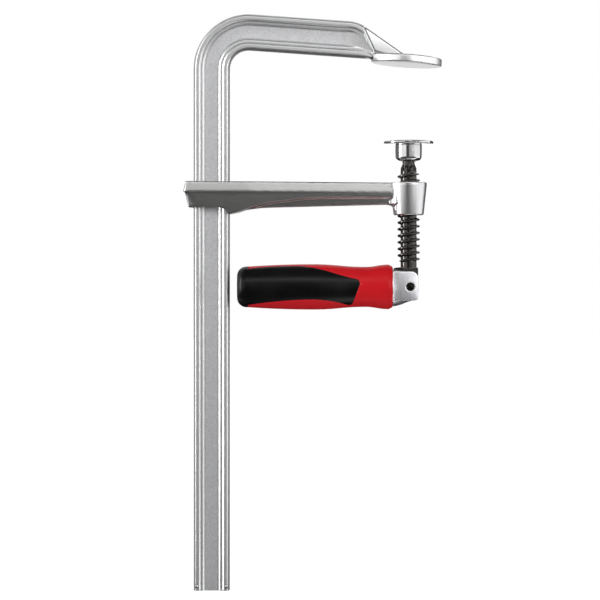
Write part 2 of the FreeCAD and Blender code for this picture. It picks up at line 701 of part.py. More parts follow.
screw = new_body("screw_spindle")
body_line = sketch_on(screw, "screw_line", "XZ_Plane")
ball_lift = root(size("ball_radius") * size("ball_radius") - size("neck_radius") * size("neck_radius"))
outline(body_line, [
    (0, size("ball_centre") + size("ball_radius")),
    (size("ball_radius"), size("ball_centre"), size("ball_radius"), 1),
    (size("neck_radius"), size("ball_centre") - ball_lift, size("ball_radius"), 1),
    (size("neck_radius"), size("neck_foot")),
    (size("thread_core"), size("thread_top") + size("neck_flare_gap"), size("neck_flare"), -1),
    (size("thread_core"), size("head_top") - size("head_sink")),
    (0, size("head_top") - size("head_sink")),
])
revolve(screw, body_line)

flute = sketch_on(screw, "neck_flute", lift=size("cup_bottom") + size("flute_top"))
flute_away = size("neck_radius") + size("flute_radius") - size("flute_depth")
circle(flute, flute_away, 0, size("flute_radius"))
flute_drop = size("cup_bottom") - size("thread_top") + size("flute_top") + size("flute_foot")
flute_cut = pocket(screw, flute, flute_drop)
repeat_round(screw, flute_cut, "Z_Axis", size("flute_count"))

fork_shoulder = size("hinge_z") + size("fork_rise")
lobe_under = fork_shoulder + size("lobe_gap")
eye_left = size("hinge_x") - size("eye_radius")
eye_right = size("hinge_x") + size("eye_radius")
head_corner = size("head_corner")
head = sketch_on(screw, "screw_head", "XZ_Plane")
outline(head, [
    (eye_left, size("hinge_z"), size("eye_radius"), 1),
    (eye_left, lobe_under),
    (-size("lobe_reach"), lobe_under),
    (-size("lobe_reach"), size("head_top") - size("lobe_corner_drop")),
    (-size("lobe_reach") + size("lobe_corner_run"), size("head_top"), size("lobe_corner"), 1),
    (-size("thread_core"), size("head_top") - size("lobe_dip_drop"), size("lobe_dip"), 1),
    (-size("thread_core") + head_corner, size("head_top")),
    (eye_right - head_corner, size("head_top")),
    (eye_right, size("head_top") - head_corner, head_corner, 1),
    (eye_right, size("hinge_z")),
    (size("hinge_x"), size("hinge_z") - size("eye_radius"), size("eye_radius"), 1),
])
pad(screw, head, size("head_thickness"), both=True)

notch_away = size("eye_radius") + size("notch_radius") - size("notch_depth")
notches = sketch_on(screw, "detent_notches", "XZ_Plane")
circle(notches, size("hinge_x") - notch_away, size("hinge_z"), size("notch_radius"))
circle(notches, size("hinge_x"), size("hinge_z") - notch_away, size("notch_radius"))
pocket(screw, notches, size("head_thickness") + margin, both=True)
eye = sketch_on(screw, "hinge_eye", "XZ_Plane")
circle(eye, size("hinge_x"), size("hinge_z"), size("pin_radius") + size("eye_play"))
pocket(screw, eye, size("head_thickness") + margin, both=True)

ridge = sketch_on(screw, "screw_thread", "XZ_Plane")
thread_profile(ridge, thread_low, as_size(0))
helix(screw, ridge, "AdditiveHelix", size("thread_pitch"),
      size("thread_top") - size("thread_root_half") - thread_low)

# Pressure plate, swivel cup, snap liner and thrust cap round the ball.

ball_z = size("ball_centre")
liner_inner = size("ball_radius") + size("liner_gap")
liner_outer = liner_inner + size("liner_wall")
cavity = liner_outer + size("liner_gap")
cup_top = size("plate_top") - size("plate_thickness")
cavity_top = root(cavity * cavity - (cup_top - ball_z) * (cup_top - ball_z))

plate = new_body("pressure_plate")
plate_line = sketch_on(plate, "plate_line", "XZ_Plane")
plate_edge = size("plate_rim") / 4
outline(plate_line, [
    (0, ball_z + cavity),
    (cavity_top, cup_top, cavity, 1),
    (size("cup_radius"), cup_top),
    (size("plate_radius"), size("plate_top") - size("plate_rim")),
    (size("plate_radius"), size("plate_top") - plate_edge),
    (size("plate_radius") - plate_edge, size("plate_top"), plate_edge, -1),
    (0, size("plate_top")),
])
revolve(plate, plate_line)

cup = new_body("swivel_cup")
cup_line = sketch_on(cup, "cup_line", "XZ_Plane")
cavity_meets_mouth = ball_z - root(cavity * cavity - size("cup_mouth") * size("cup_mouth"))
outline(cup_line, [
    (size("cup_mouth"), size("cup_bottom")),
    (size("cup_radius") - size("cup_round"), size("cup_bottom")),
    (size("cup_radius"), size("cup_bottom") + size("cup_round"), size("cup_round"), -1),
    (size("cup_radius"), cup_top),
    (cavity_top, cup_top),
    (cavity, ball_z, cavity, 1),
    (size("cup_mouth"), cavity_meets_mouth, cavity, 1),
])
revolve(cup, cup_line)


def shell_ring(label, start, end):
    """A ring cut from a thin ball shell, between two angles from the axis."""
    body = new_body(label)
    sketch = sketch_on(body, f"{label}_line", "XZ_Plane")
    outline(sketch, [
        (liner_inner * sine(start), ball_z + liner_inner * cosine(start), liner_inner, -1),
        (liner_outer * sine(start), ball_z + liner_outer * cosine(start)),
        (liner_outer * sine(end), ball_z + liner_outer * cosine(end), liner_outer, 1),
        (liner_inner * sine(end), ball_z + liner_inner * cosine(end)),
    ])
    revolve(body, sketch)
    return body


liner = shell_ring("snap_liner", size("liner_start"), size("liner_end"))
slit = sketch_on(liner, "liner_slit", lift=ball_z - liner_outer)
slit_half = size("slit_width") / 2
outline(slit, [
    (liner_inner / 2, -slit_half),
    (liner_outer + margin, -slit_half),
    (liner_outer + margin, slit_half),
    (liner_inner / 2, slit_half),
])
slit_cut = pocket(liner, slit, liner_outer, backwards=True)
repeat_round(liner, slit_cut, "Z_Axis", size("liner_slits"))

cap = new_body("thrust_cap")
cap_line = sketch_on(cap, "cap_line", "XZ_Plane")
cap_sine = sine(size("cap_angle"))
cap_cosine = cosine(size("cap_angle"))
outline(cap_line, [
    (0, ball_z + liner_inner, liner_inner, -1),
    (0, ball_z + liner_outer),
    (liner_outer * cap_sine, ball_z + liner_outer * cap_cosine, liner_outer, 1),
    (liner_inner * cap_sine, ball_z + liner_inner * cap_cosine),
])
revolve(cap, cap_line)

# Handle fork: round ferrule, two cheeks round the screw's head, and a tang for the handle.

fork = new_body("handle_fork")
hinge_x = size("hinge_x")
hinge_z = size("hinge_z")
ferrule_x = hinge_x - size("ferrule_face")
tang_start = ferrule_x - size("ferrule_depth")
tang_stop = hinge_x - size("tang_end")
nose_end = hinge_x + size("fork_nose")


def on_handle(across, radius):
    """A point of a profile that is turned about the handle's axis."""
    return (as_size(across), as_size(radius))


def handle_sketch(body, name):
    """A sketch whose horizontal axis is the handle's axis, so turned parts share it."""
    sketch = sketch_on(body, name, "XZ_Plane")
    sketch.AttachmentOffset = FreeCAD.Placement(
        FreeCAD.Vector(0, hinge_z.value, 0), FreeCAD.Rotation())
    sketch.setExpression("AttachmentOffset.Base.y", hinge_z.text)
    return sketch


fork_line = handle_sketch(fork, "fork_line")
outline(fork_line, [
    on_handle(tang_stop, 0),
    on_handle(tang_stop, size("tang_radius") - size("tang_chamfer")),
    on_handle(tang_stop + size("tang_chamfer"), size("tang_radius")),
    on_handle(tang_start, size("tang_radius")),
    on_handle(tang_start, size("ferrule_radius")),
    on_handle(ferrule_x, size("ferrule_radius")),
    (ferrule_x + size("shoulder_run"), size("ferrule_radius") - size("shoulder_fall"),
     size("shoulder_sweep"), 1),
    (nose_end - size("fork_tip_run"), size("fork_drop") - size("fork_tip_fall"),
     size("fork_sweep"), 1),
    (nose_end, size("fork_drop") - size("fork_tip_fall") * 2, size("fork_tip_round"), 1),
    on_handle(nose_end, 0),
])
revolve(fork, fork_line, axis="H_Axis")

beyond = size("ferrule_radius") + margin
flats = handle_sketch(fork, "fork_flats")
outline(flats, [
    (ferrule_x, -beyond),
    (nose_end + margin, -beyond),
    (nose_end + margin, beyond),
    (ferrule_x, beyond),
])
flats.setExpression("AttachmentOffset.Base.z", size("fork_half_width").text)
pocket(fork, flats, size("ferrule_radius"), backwards=True)
back_flats = handle_sketch(fork, "fork_back_flats")
outline(back_flats, [
    (ferrule_x, -beyond),
    (nose_end + margin, -beyond),
    (nose_end + margin, beyond),
    (ferrule_x, beyond),
])
back_flats.setExpression("AttachmentOffset.Base.z", (-size("fork_half_width")).text)
pocket(fork, back_flats, size("ferrule_radius"))
top_cut = handle_sketch(fork, "fork_top")
outline(top_cut, [
    (ferrule_x, size("fork_rise")),
    (nose_end + margin, size("fork_rise")),
    (nose_end + margin, beyond),
    (ferrule_x, beyond),
])
pocket(fork, top_cut, size("ferrule_radius") * 3, both=True)

cheeks = handle_sketch(fork, "fork_cheeks")
outline(cheeks, [
    (ferrule_x, -size("fork_drop")),
    (nose_end - size("fork_lower_corner"), -size("fork_drop") + size("fork_slope")),
    (nose_end, -size("fork_drop") + size("fork_slope") + size("fork_lower_corner"),
     size("fork_lower_corner"), -1),
    (nose_end, size("fork_rise") - size("fork_corner")),
    (nose_end - size("fork_corner"), size("fork_rise"), size("fork_corner"), -1),
    (ferrule_x, size("fork_rise")),
])
pad(fork, cheeks, size("fork_half_width") * 2, both=True)

slot_x = eye_left - size("fork_play")
slot_floor = -(size("eye_radius") + size("fork_play"))
slot = handle_sketch(fork, "fork_slot")
outline(slot, [
    (slot_x, slot_floor),
    (nose_end + margin, slot_floor),
    (nose_end + margin, beyond),
    (slot_x, beyond),
])
pocket(fork, slot, size("head_thickness") + size("cheek_play") * 2, both=True)

pin_hole = handle_sketch(fork, "pin_hole")
circle(pin_hole, hinge_x, 0, size("pin_radius"))
pocket(fork, pin_hole, size("ferrule_radius") * 3, both=True)

tip_x = eye_left - size("plunger_gap")
plunger_back = tip_x - size("plunger_nose") - size("plunger_length")
spring_back = plunger_back - size("spring_length") - size("spring_wire")
bore_radius = size("plunger_radius") + size("bore_play")
detent_bore = sketch_on(fork, "detent_bore", "YZ_Plane", lift=spring_back)
circle(detent_bore, 0, hinge_z, bore_radius)
pocket(fork, detent_bore, slot_x - spring_back + margin, backwards=True)

for name, side in (("tang_top", 1), ("tang_under", -1)):
    tang_flat = sketch_on(fork, name, "YZ_Plane", lift=tang_stop - margin)
    outline(tang_flat, [
        (-beyond, hinge_z + size("tang_flat") * side),
        (beyond, hinge_z + size("tang_flat") * side),
        (beyond, hinge_z + beyond * side),
        (-beyond, hinge_z + beyond * side),
    ])
    pocket(fork, tang_flat, tang_start - tang_stop + margin, backwards=True)
tang_hole = handle_sketch(fork, "tang_hole")
circle(tang_hole, hinge_x - size("post_at"), 0, size("post_radius"))
pocket(fork, tang_hole, beyond * 2, both=True)

# Pin pressed through the cheeks, on which the eye turns.

pin = new_body("hinge_pin")
pin_line = sketch_on(pin, "pin_line", "XY_Plane", lift=hinge_z)
pin_half = size("fork_half_width") - size("pin_recess")
pin_side = hinge_x + size("pin_radius")
outline(pin_line, [
    (hinge_x, -pin_half),
    (pin_side - size("pin_chamfer"), -pin_half),
    (pin_side, -pin_half + size("pin_chamfer")),
    (pin_side, pin_half - size("pin_chamfer")),
    (pin_side - size("pin_chamfer"), pin_half),
    (hinge_x, pin_half),
])
pin_turned = pin.newObject("PartDesign::Revolution", "pin_turned")
pin_turned.Profile = pin_line
pin_turned.ReferenceAxis = (pin_line, ["Edge1"])
pin_turned.Angle = 360
finish(pin_turned)

# Detent plunger and its coil spring in the fork's bore.

plunger = new_body("detent_plunger")
plunger_line = handle_sketch(plunger, "plunger_line")
nose_base = tip_x - size("plunger_nose")
outline(plunger_line, [
    (plunger_back, 0),
    (plunger_back, size("plunger_radius")),
    (nose_base - size("plunger_cone"), size("plunger_radius")),
    (nose_base, size("plunger_nose")),
    (tip_x, 0, size("plunger_nose"), 1),
])
revolve(plunger, plunger_line, axis="H_Axis")

spring = doc.addObject("Part::Feature", "detent_spring")
spring.Label = "detent_spring"
coil_length = size("spring_length") - size("spring_play") * 2
coil_path = Part.makeHelix(size("spring_pitch").value, coil_length.value,
                           size("spring_radius").value)
wire_start = FreeCAD.Vector(size("spring_radius").value, 0, 0)
wire_circle = Part.Wire(Part.makeCircle(size("spring_wire").value / 2, wire_start,
                                        FreeCAD.Vector(0, 1, 0)))
spring.Shape = Part.Wire(coil_path).makePipeShell([wire_circle], True, True)
spring_start = spring_back + size("spring_wire") / 2 + size("spring_play")
spring.Placement = FreeCAD.Placement(
    FreeCAD.Vector(spring_start.value, 0, hinge_z.value),
    FreeCAD.Rotation(FreeCAD.Vector(0, 1, 0), 90))

# Handle: hard core moulded on the tang, and the soft grip moulded over the core.
# Folded, the handle lies between screw and rail, so the throat gives its length.

near_end = hinge_x - size("handle_start")
far_end = size("tail_gap") - size("throat")
handle_length = near_end - far_end
tail_x = far_end + size("tail_cap")
belly_x = near_end - handle_length * size("belly_share")
waist_x = near_end - handle_length * size("waist_share")
flare_x = near_end - size("handle_bevel")


def wave(start_x, start_r, end_x, end_r):
    """Two equal arcs that join two level stretches of the profile, and their radius."""
    run = (end_x - start_x) / 2
    rise = (end_r - start_r) / 2
    radius = (run * run + rise * rise) / (rise * 2)
    return start_x + run, start_r + rise, radius


def handle_profile(inset):
    """Corners of the handle's outer line, or of a line inset below it."""
    belly = size("handle_belly") - inset
    waist = size("handle_waist") - inset
    flare = size("handle_flare") - inset
    tail = size("handle_tail") - inset
    drop = size("handle_belly") - size("handle_tail")
    run = belly_x - tail_x
    tail_radius = (run * run + drop * drop) / (drop * 2)
    mid_x, mid_r, bend = wave(waist_x, waist, belly_x, belly)
    lift_x, lift_r, lift_bend = wave(waist_x, waist, flare_x, flare)
    return [
        (tail_x, tail),
        (belly_x, belly, tail_radius, 1),
        (mid_x, mid_r, bend, 1),
        (waist_x, waist, bend, -1),
        (lift_x, lift_r, lift_bend, -1),
        (flare_x, flare, lift_bend, 1),
    ]


def full_handle(body, name):
    """The handle's whole outer shape, from its near face to its rounded far end."""
    sketch = handle_sketch(body, name)
    round_radius = size("handle_tail_round")
    outline(sketch, [
        (near_end, 0),
        (far_end, 0),
        (far_end, size("handle_tail") - round_radius),
        (far_end + round_radius, size("handle_tail"), round_radius, 1),
    ] + handle_profile(as_size(0)) + [
        (near_end, size("handle_mouth")),
    ])
    return revolve(body, sketch, axis="H_Axis")


grip = new_body("soft_grip")
full_handle(grip, "grip_line")
clear = size("handle_belly") + margin
panel_tip_x = waist_x - size("panel_tip_at")
panel_heel_x = waist_x - size("panel_heel_at")
around_panel = handle_sketch(grip, "around_panel")
outline(around_panel, [
    (tail_x, clear),
    (near_end + margin, clear),
    (near_end + margin, -clear),
    (tail_x, -clear),
    (tail_x, -size("panel_tail_down")),
    (belly_x, -size("panel_arch"), size("arch_sweep"), 1),
    (panel_heel_x - size("panel_corner"), -size("panel_heel_low"), size("heel_sweep"), 1),
    (panel_heel_x, -size("panel_heel"), size("panel_corner"), -1),
    (panel_tip_x, size("panel_tip_out")),
    (panel_tip_x - size("panel_tip_run"), size("panel_tip_up"), size("panel_corner"), -1),
    (belly_x + size("panel_slope_at"), size("panel_slope"), size("slope_sweep"), 1),
    (belly_x - size("panel_crest_at"), size("panel_crest"), size("crest_sweep"), -1),
    (tail_x, size("panel_tail_up"), size("tail_sweep"), -1),
])
pocket(grip, around_panel, clear * 2, both=True)
inside = handle_sketch(grip, "grip_inside")
inner_end = far_end + size("grip_depth")
inner_round = size("handle_tail_round") - size("grip_depth")
inner_tail = size("handle_tail") - size("grip_depth")
outline(inside, [
    (near_end + margin, 0),
    (inner_end, 0),
    (inner_end, inner_tail - inner_round),
    (inner_end + inner_round, inner_tail, inner_round, 1),
] + handle_profile(size("grip_depth")) + [
    (near_end + margin, size("handle_flare") - size("grip_depth")),
])
revolve(grip, inside, kind="Groove", axis="H_Axis")

blank = new_body("handle_blank")
full_handle(blank, "core_line")
mouth = sketch_on(blank, "core_mouth", "YZ_Plane", lift=tang_start - size("mouth_play"))
circle(mouth, 0, hinge_z, size("ferrule_radius") + size("mouth_play"))
pocket(blank, mouth, near_end - tang_start + margin, backwards=True)
tang_room = sketch_on(blank, "tang_room", "YZ_Plane", lift=tang_stop)
tang_side = root(size("tang_radius") * size("tang_radius") - size("tang_flat") * size("tang_flat"))
outline(tang_room, [
    (-tang_side, hinge_z + size("tang_flat")),
    (-tang_side, hinge_z - size("tang_flat"), size("tang_radius"), -1),
    (tang_side, hinge_z - size("tang_flat")),
    (tang_side, hinge_z + size("tang_flat"), size("tang_radius"), -1),
])
pocket(blank, tang_room, tang_start - tang_stop, backwards=True)
post = handle_sketch(blank, "tang_post")
circle(post, hinge_x - size("post_at"), 0, size("post_radius"))
pad(blank, post, size("tang_radius") * 2, both=True)
core = doc.addObject("Part::Cut", "handle_core")
core.Label = "handle_core"
core.Base = blank
core.Tool = grip
finish(core)

# The exported shapes.

for thing in doc.Objects:
    if "Invalid" in thing.State or "Error" in thing.State:
        raise RuntimeError(f"{thing.Label} is in state {thing.State}")
os.makedirs("parts", exist_ok=True)
nodes = [thing for thing in doc.Objects
         if thing.isDerivedFrom("PartDesign::Body") or thing in (spring, core)]
nodes.remove(blank)
for node in nodes:
    shape = node.Shape
    if shape.isNull() or not shape.isValid():
        raise RuntimeError(f"{node.Label} has no valid shape")
    print(node.Label, "solids", len(shape.Solids), "volume", round(shape.Volume, 2))
    shape.exportStep(f"parts/{node.Label}.step")
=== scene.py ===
# %% [markdown]
# # A screw clamp with a folding handle
#
# The clamp is a flat steel bar bent into a hook, a forged arm that slides on the bar, and a
# screw with a swivelling plate. Its handle folds sideways so that the clamp stores flat.
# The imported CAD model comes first, because every visible piece has to sit exactly on it and
# move with one of its bodies. The cells below start from what reads first in a photograph,
# the camera and the light, and then dress one real piece after another.

import json
import math

import bmesh
import bpy
from mathutils import Matrix, Vector


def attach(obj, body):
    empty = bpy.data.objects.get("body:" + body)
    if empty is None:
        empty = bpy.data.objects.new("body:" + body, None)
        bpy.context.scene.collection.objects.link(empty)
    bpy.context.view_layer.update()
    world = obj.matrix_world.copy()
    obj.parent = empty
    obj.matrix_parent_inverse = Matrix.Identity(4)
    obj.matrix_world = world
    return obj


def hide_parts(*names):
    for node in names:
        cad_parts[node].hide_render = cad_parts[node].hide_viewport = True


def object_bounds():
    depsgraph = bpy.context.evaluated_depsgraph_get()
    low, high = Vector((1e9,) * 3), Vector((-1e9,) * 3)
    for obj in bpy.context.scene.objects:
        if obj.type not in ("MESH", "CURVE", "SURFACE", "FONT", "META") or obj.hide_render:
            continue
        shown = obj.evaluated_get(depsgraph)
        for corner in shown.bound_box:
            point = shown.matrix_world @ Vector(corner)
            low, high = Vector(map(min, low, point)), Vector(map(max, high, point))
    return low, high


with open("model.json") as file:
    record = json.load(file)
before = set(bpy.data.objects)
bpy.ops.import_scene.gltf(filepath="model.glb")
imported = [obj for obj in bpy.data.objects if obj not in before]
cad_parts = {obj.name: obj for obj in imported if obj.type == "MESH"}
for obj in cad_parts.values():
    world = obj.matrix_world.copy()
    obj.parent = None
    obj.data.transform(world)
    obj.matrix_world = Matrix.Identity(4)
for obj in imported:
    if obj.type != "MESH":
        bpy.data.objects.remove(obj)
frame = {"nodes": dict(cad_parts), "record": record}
cad_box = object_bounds()
MM = 0.001

# %% [markdown]
# ## Camera
#
# The photograph is a level product shot with a long lens: both jaws show a sliver of their
# undersides or rims, and parallel edges stay parallel. A shift lens could frame it too, but
# a plain camera at the right height gives the same picture and works from other sides.

# %% Place the camera
PICTURE_SIDE = 600
MM_PER_PIXEL = 0.6715
CAMERA_DISTANCE = 1.813
CAMERA_AT = Vector((-72.9 * MM, -CAMERA_DISTANCE, -157.8 * MM))
SENSOR = 36.0
view_width = PICTURE_SIDE * MM_PER_PIXEL * MM
camera_data = bpy.data.cameras.new("photo_camera")
camera_data.sensor_width = SENSOR
camera_data.lens = SENSOR * CAMERA_DISTANCE / view_width
camera_data.clip_start = 0.01
camera_data.clip_end = 50
camera = bpy.data.objects.new("photo_camera", camera_data)
camera.location = CAMERA_AT
camera.rotation_euler = (math.radians(90), 0, 0)
bpy.context.collection.objects.link(camera)
bpy.context.scene.camera = camera
bpy.context.scene.view_settings.view_transform = "Standard"
print("lens", round(camera_data.lens, 1), "mm")

# %% [markdown]
# ## Floor, light and reflections
#
# Steel shows its surroundings more than its own colour. The surroundings here are white, as
# the photograph's background is, with tall soft lamps at both sides of the camera and one
# above it. Metal product shots also need dark panels: without them a bright edge can't be
# told from the background. Two stand in front of the clamp and two behind it, others lie
# below and one hangs above, so that slanted edges end in a thin dark line. The panels only
# show in reflections. Painting these tones into the metal instead would look right from the
# front only, and wrong as soon as the clamp turns.

# %% Build the floor and the dark panels


def stage_plane(name, size, location, rotation, material):
    """A flat card of the studio, floor or panel; it isn't part of the clamp."""
    bpy.ops.mesh.primitive_plane_add(size=1, location=location, rotation=rotation)
    card = bpy.context.object
    card.name = name
    card.scale = (size[0], size[1], 1)
    card.data.materials.append(material)
    return card


def connect(tree, value, socket):
    """Links another node's output to the socket, or sets it to a constant."""
    if isinstance(value, bpy.types.NodeSocket):
        tree.links.new(value, socket)
    elif value is not None:
        socket.default_value = value


def new_node(tree, kind, **inputs):
    """A node with its inputs connected by name; underscores stand for spaces."""
    node = tree.nodes.new(kind)
    for name, value in inputs.items():
        connect(tree, value, node.inputs[name.replace("_", " ")])
    return node


def calculated(tree, operation, *values, kind="ShaderNodeMath"):
    """The outputs of a math node with its inputs connected in their order."""
    node = tree.nodes.new(kind)
    node.operation = operation
    for value, socket in zip(values, node.inputs):
        connect(tree, value, socket)
    return node.outputs


def vector_math(tree, operation, *values):
    """The same for vectors."""
    return calculated(tree, operation, *values, kind="ShaderNodeVectorMath")


def plain_rays(tree):
    """1 for camera, glossy and transmission rays, which should see plain white."""
    path = tree.nodes.new("ShaderNodeLightPath").outputs
    seen = calculated(tree, "MAXIMUM", path["Is Camera Ray"], path["Is Glossy Ray"])[0]
    return calculated(tree, "MAXIMUM", seen, path["Is Transmission Ray"])[0]


def bare_material(name):
    """A new material and its node tree, still empty."""
    material = bpy.data.materials.new(name)
    material.use_nodes = True
    material.node_tree.nodes.clear()
    return material, material.node_tree


def pale_floor(name, tint, glow_strength):
    """A matt floor that keeps shadows and looks white to camera, reflections and glass."""
    material, tree = bare_material(name)
    matte = new_node(tree, "ShaderNodeBsdfDiffuse", Color=(tint, tint, tint, 1))
    lift = calculated(tree, "MULTIPLY", plain_rays(tree), glow_strength)[0]
    glow = new_node(tree, "ShaderNodeEmission", Strength=lift)
    both = tree.nodes.new("ShaderNodeAddShader")
    tree.links.new(matte.outputs[0], both.inputs[0])
    tree.links.new(glow.outputs[0], both.inputs[1])
    new_node(tree, "ShaderNodeOutputMaterial", Surface=both.outputs[0])
    return material


def panel_colour(name, level):
    """A flat grey that looks the same from everywhere, as an evenly lit panel does."""
    material, tree = bare_material(name)
    glow = new_node(tree, "ShaderNodeEmission", Color=(level, level, level * 1.01, 1))
    new_node(tree, "ShaderNodeOutputMaterial", Surface=glow.outputs[0])
    return material


def hidden(panel):
    """Leaves a panel to the reflections alone: it neither shows nor shades anything."""
    panel.visible_camera = False
    panel.visible_shadow = False
    panel.visible_diffuse = False


REACH_BELOW = 200 * MM      # the straight handle hangs this far under the rail's end
FLOOR_TINT, FLOOR_GLOW = 0.80, 0.74
floor_level = cad_box[0][2] - REACH_BELOW
stage_plane("floor", (30, 30), (0, 10, floor_level), (0, 0, 0),
            pale_floor("floor_pale", FLOOR_TINT, FLOOR_GLOW))

# Upright panels: name, level, azimuth and half width in degrees, distance, middle, height.
# The azimuth is counted from the camera's direction, positive to the right.
STANDING = [
    ("panel_front_left", 0.07, -7, 13, 1.50, 0.10, 1.9),
    ("panel_front", 0.42, 28, 22, 1.50, 0.10, 1.9),
    ("panel_left_back", 0.16, -128, 42, 1.50, -0.10, 1.6),
    ("panel_right_back", 0.06, 141, 24, 1.50, -0.10, 1.6),
]
UPRIGHT = math.radians(90)
MIDDLE_X = -0.07
for name, level, azimuth, half, distance, height, tall in STANDING:
    turn = math.radians(azimuth)
    wide = 2 * distance * math.tan(math.radians(half))
    place = (MIDDLE_X + distance * math.sin(turn), -distance * math.cos(turn), height)
    hidden(stage_plane(name, (wide, tall), place, (UPRIGHT, 0, turn),
                       panel_colour(name, level)))

# Lying panels: name, level, size, place.
LYING = [
    ("panel_low_front", 0.09, (2.2, 1.85), (MIDDLE_X, -1.05, -0.38)),
    ("panel_low_left", 0.06, (0.70, 0.13), (-0.43, -0.062, -0.381)),
    ("panel_below", 0.02, (1.6, 0.90), (MIDDLE_X, 0.45, -0.38)),
    ("panel_above", 0.09, (1.6, 1.30), (MIDDLE_X, -0.10, 0.60)),
]
for name, level, size, place in LYING:
    hidden(stage_plane(name, size, place, (0, 0, 0), panel_colour(name, level)))
print("floor at", round(floor_level / MM, 1), "mm,", len(STANDING) + len(LYING), "panels")

# %% Light it with the world and soft lamps
SKY_FOR_MATT, SKY_SEEN = 0.54, 1.0      # light on matt surfaces, and what other rays see
world = bpy.data.worlds.new("studio")
bpy.context.scene.world = world
world.use_nodes = True
sky = world.node_tree
background = sky.nodes["Background"]
background.inputs["Color"].default_value = (1, 1, 1, 1)
sky_level = new_node(sky, "ShaderNodeMapRange", Value=plain_rays(sky),
                     To_Min=SKY_FOR_MATT, To_Max=SKY_SEEN)
sky.links.new(sky_level.outputs["Result"], background.inputs["Strength"])

LAMPS = [   # name, place, width, height, power
    ("key_left", (-1.85, -0.30, 0.15), 0.42, 1.4, 17),
    ("fill_right", (0.98, -1.38, 0.40), 0.42, 1.0, 11),
    ("top", (-0.1, -1.30, 1.00), 1.2, 0.8, 6),
]
AIM = Vector((MIDDLE_X, 0, -0.12))
for name, location, wide, tall, power in LAMPS:
    lamp_data = bpy.data.lights.new(name, "AREA")
    lamp_data.shape = "RECTANGLE"
    lamp_data.size, lamp_data.size_y, lamp_data.energy = wide, tall, power
    lamp = bpy.data.objects.new(name, lamp_data)
    lamp.location = location
    lamp.rotation_euler = (AIM - Vector(location)).to_track_quat("-Z", "Y").to_euler()
    bpy.context.collection.objects.link(lamp)
print(len(LAMPS), "lamps")

# %% [markdown]
# ## Materials
#
# Five families cover the clamp: zinc-plated steel, polished chrome, dark oxidised steel,
# hard red plastic and soft black elastomer. Each is built from noise on object coordinates,
# so the grain keeps its real size wherever a piece is. The shader's Bevel node rounds the
# normals along edges, which gives every machined edge the thin highlight that real steel has.
# Ambient occlusion finds the inner corners and darkens them, a painted shade mixed with oil
# and dust. Edges of steel and elastomer are lighter, partly wear and partly a painted
# highlight, and a few planes mark off the jaw web's sloping top face, which is made dark.

# %% Material tools
EDGE_BAND = 0.90, 0.995     # how far rounded and true normals agree, from an edge to a face
CORNER_BAND = 0.84, 0.975   # how open the surface is, from deep in a corner to a face


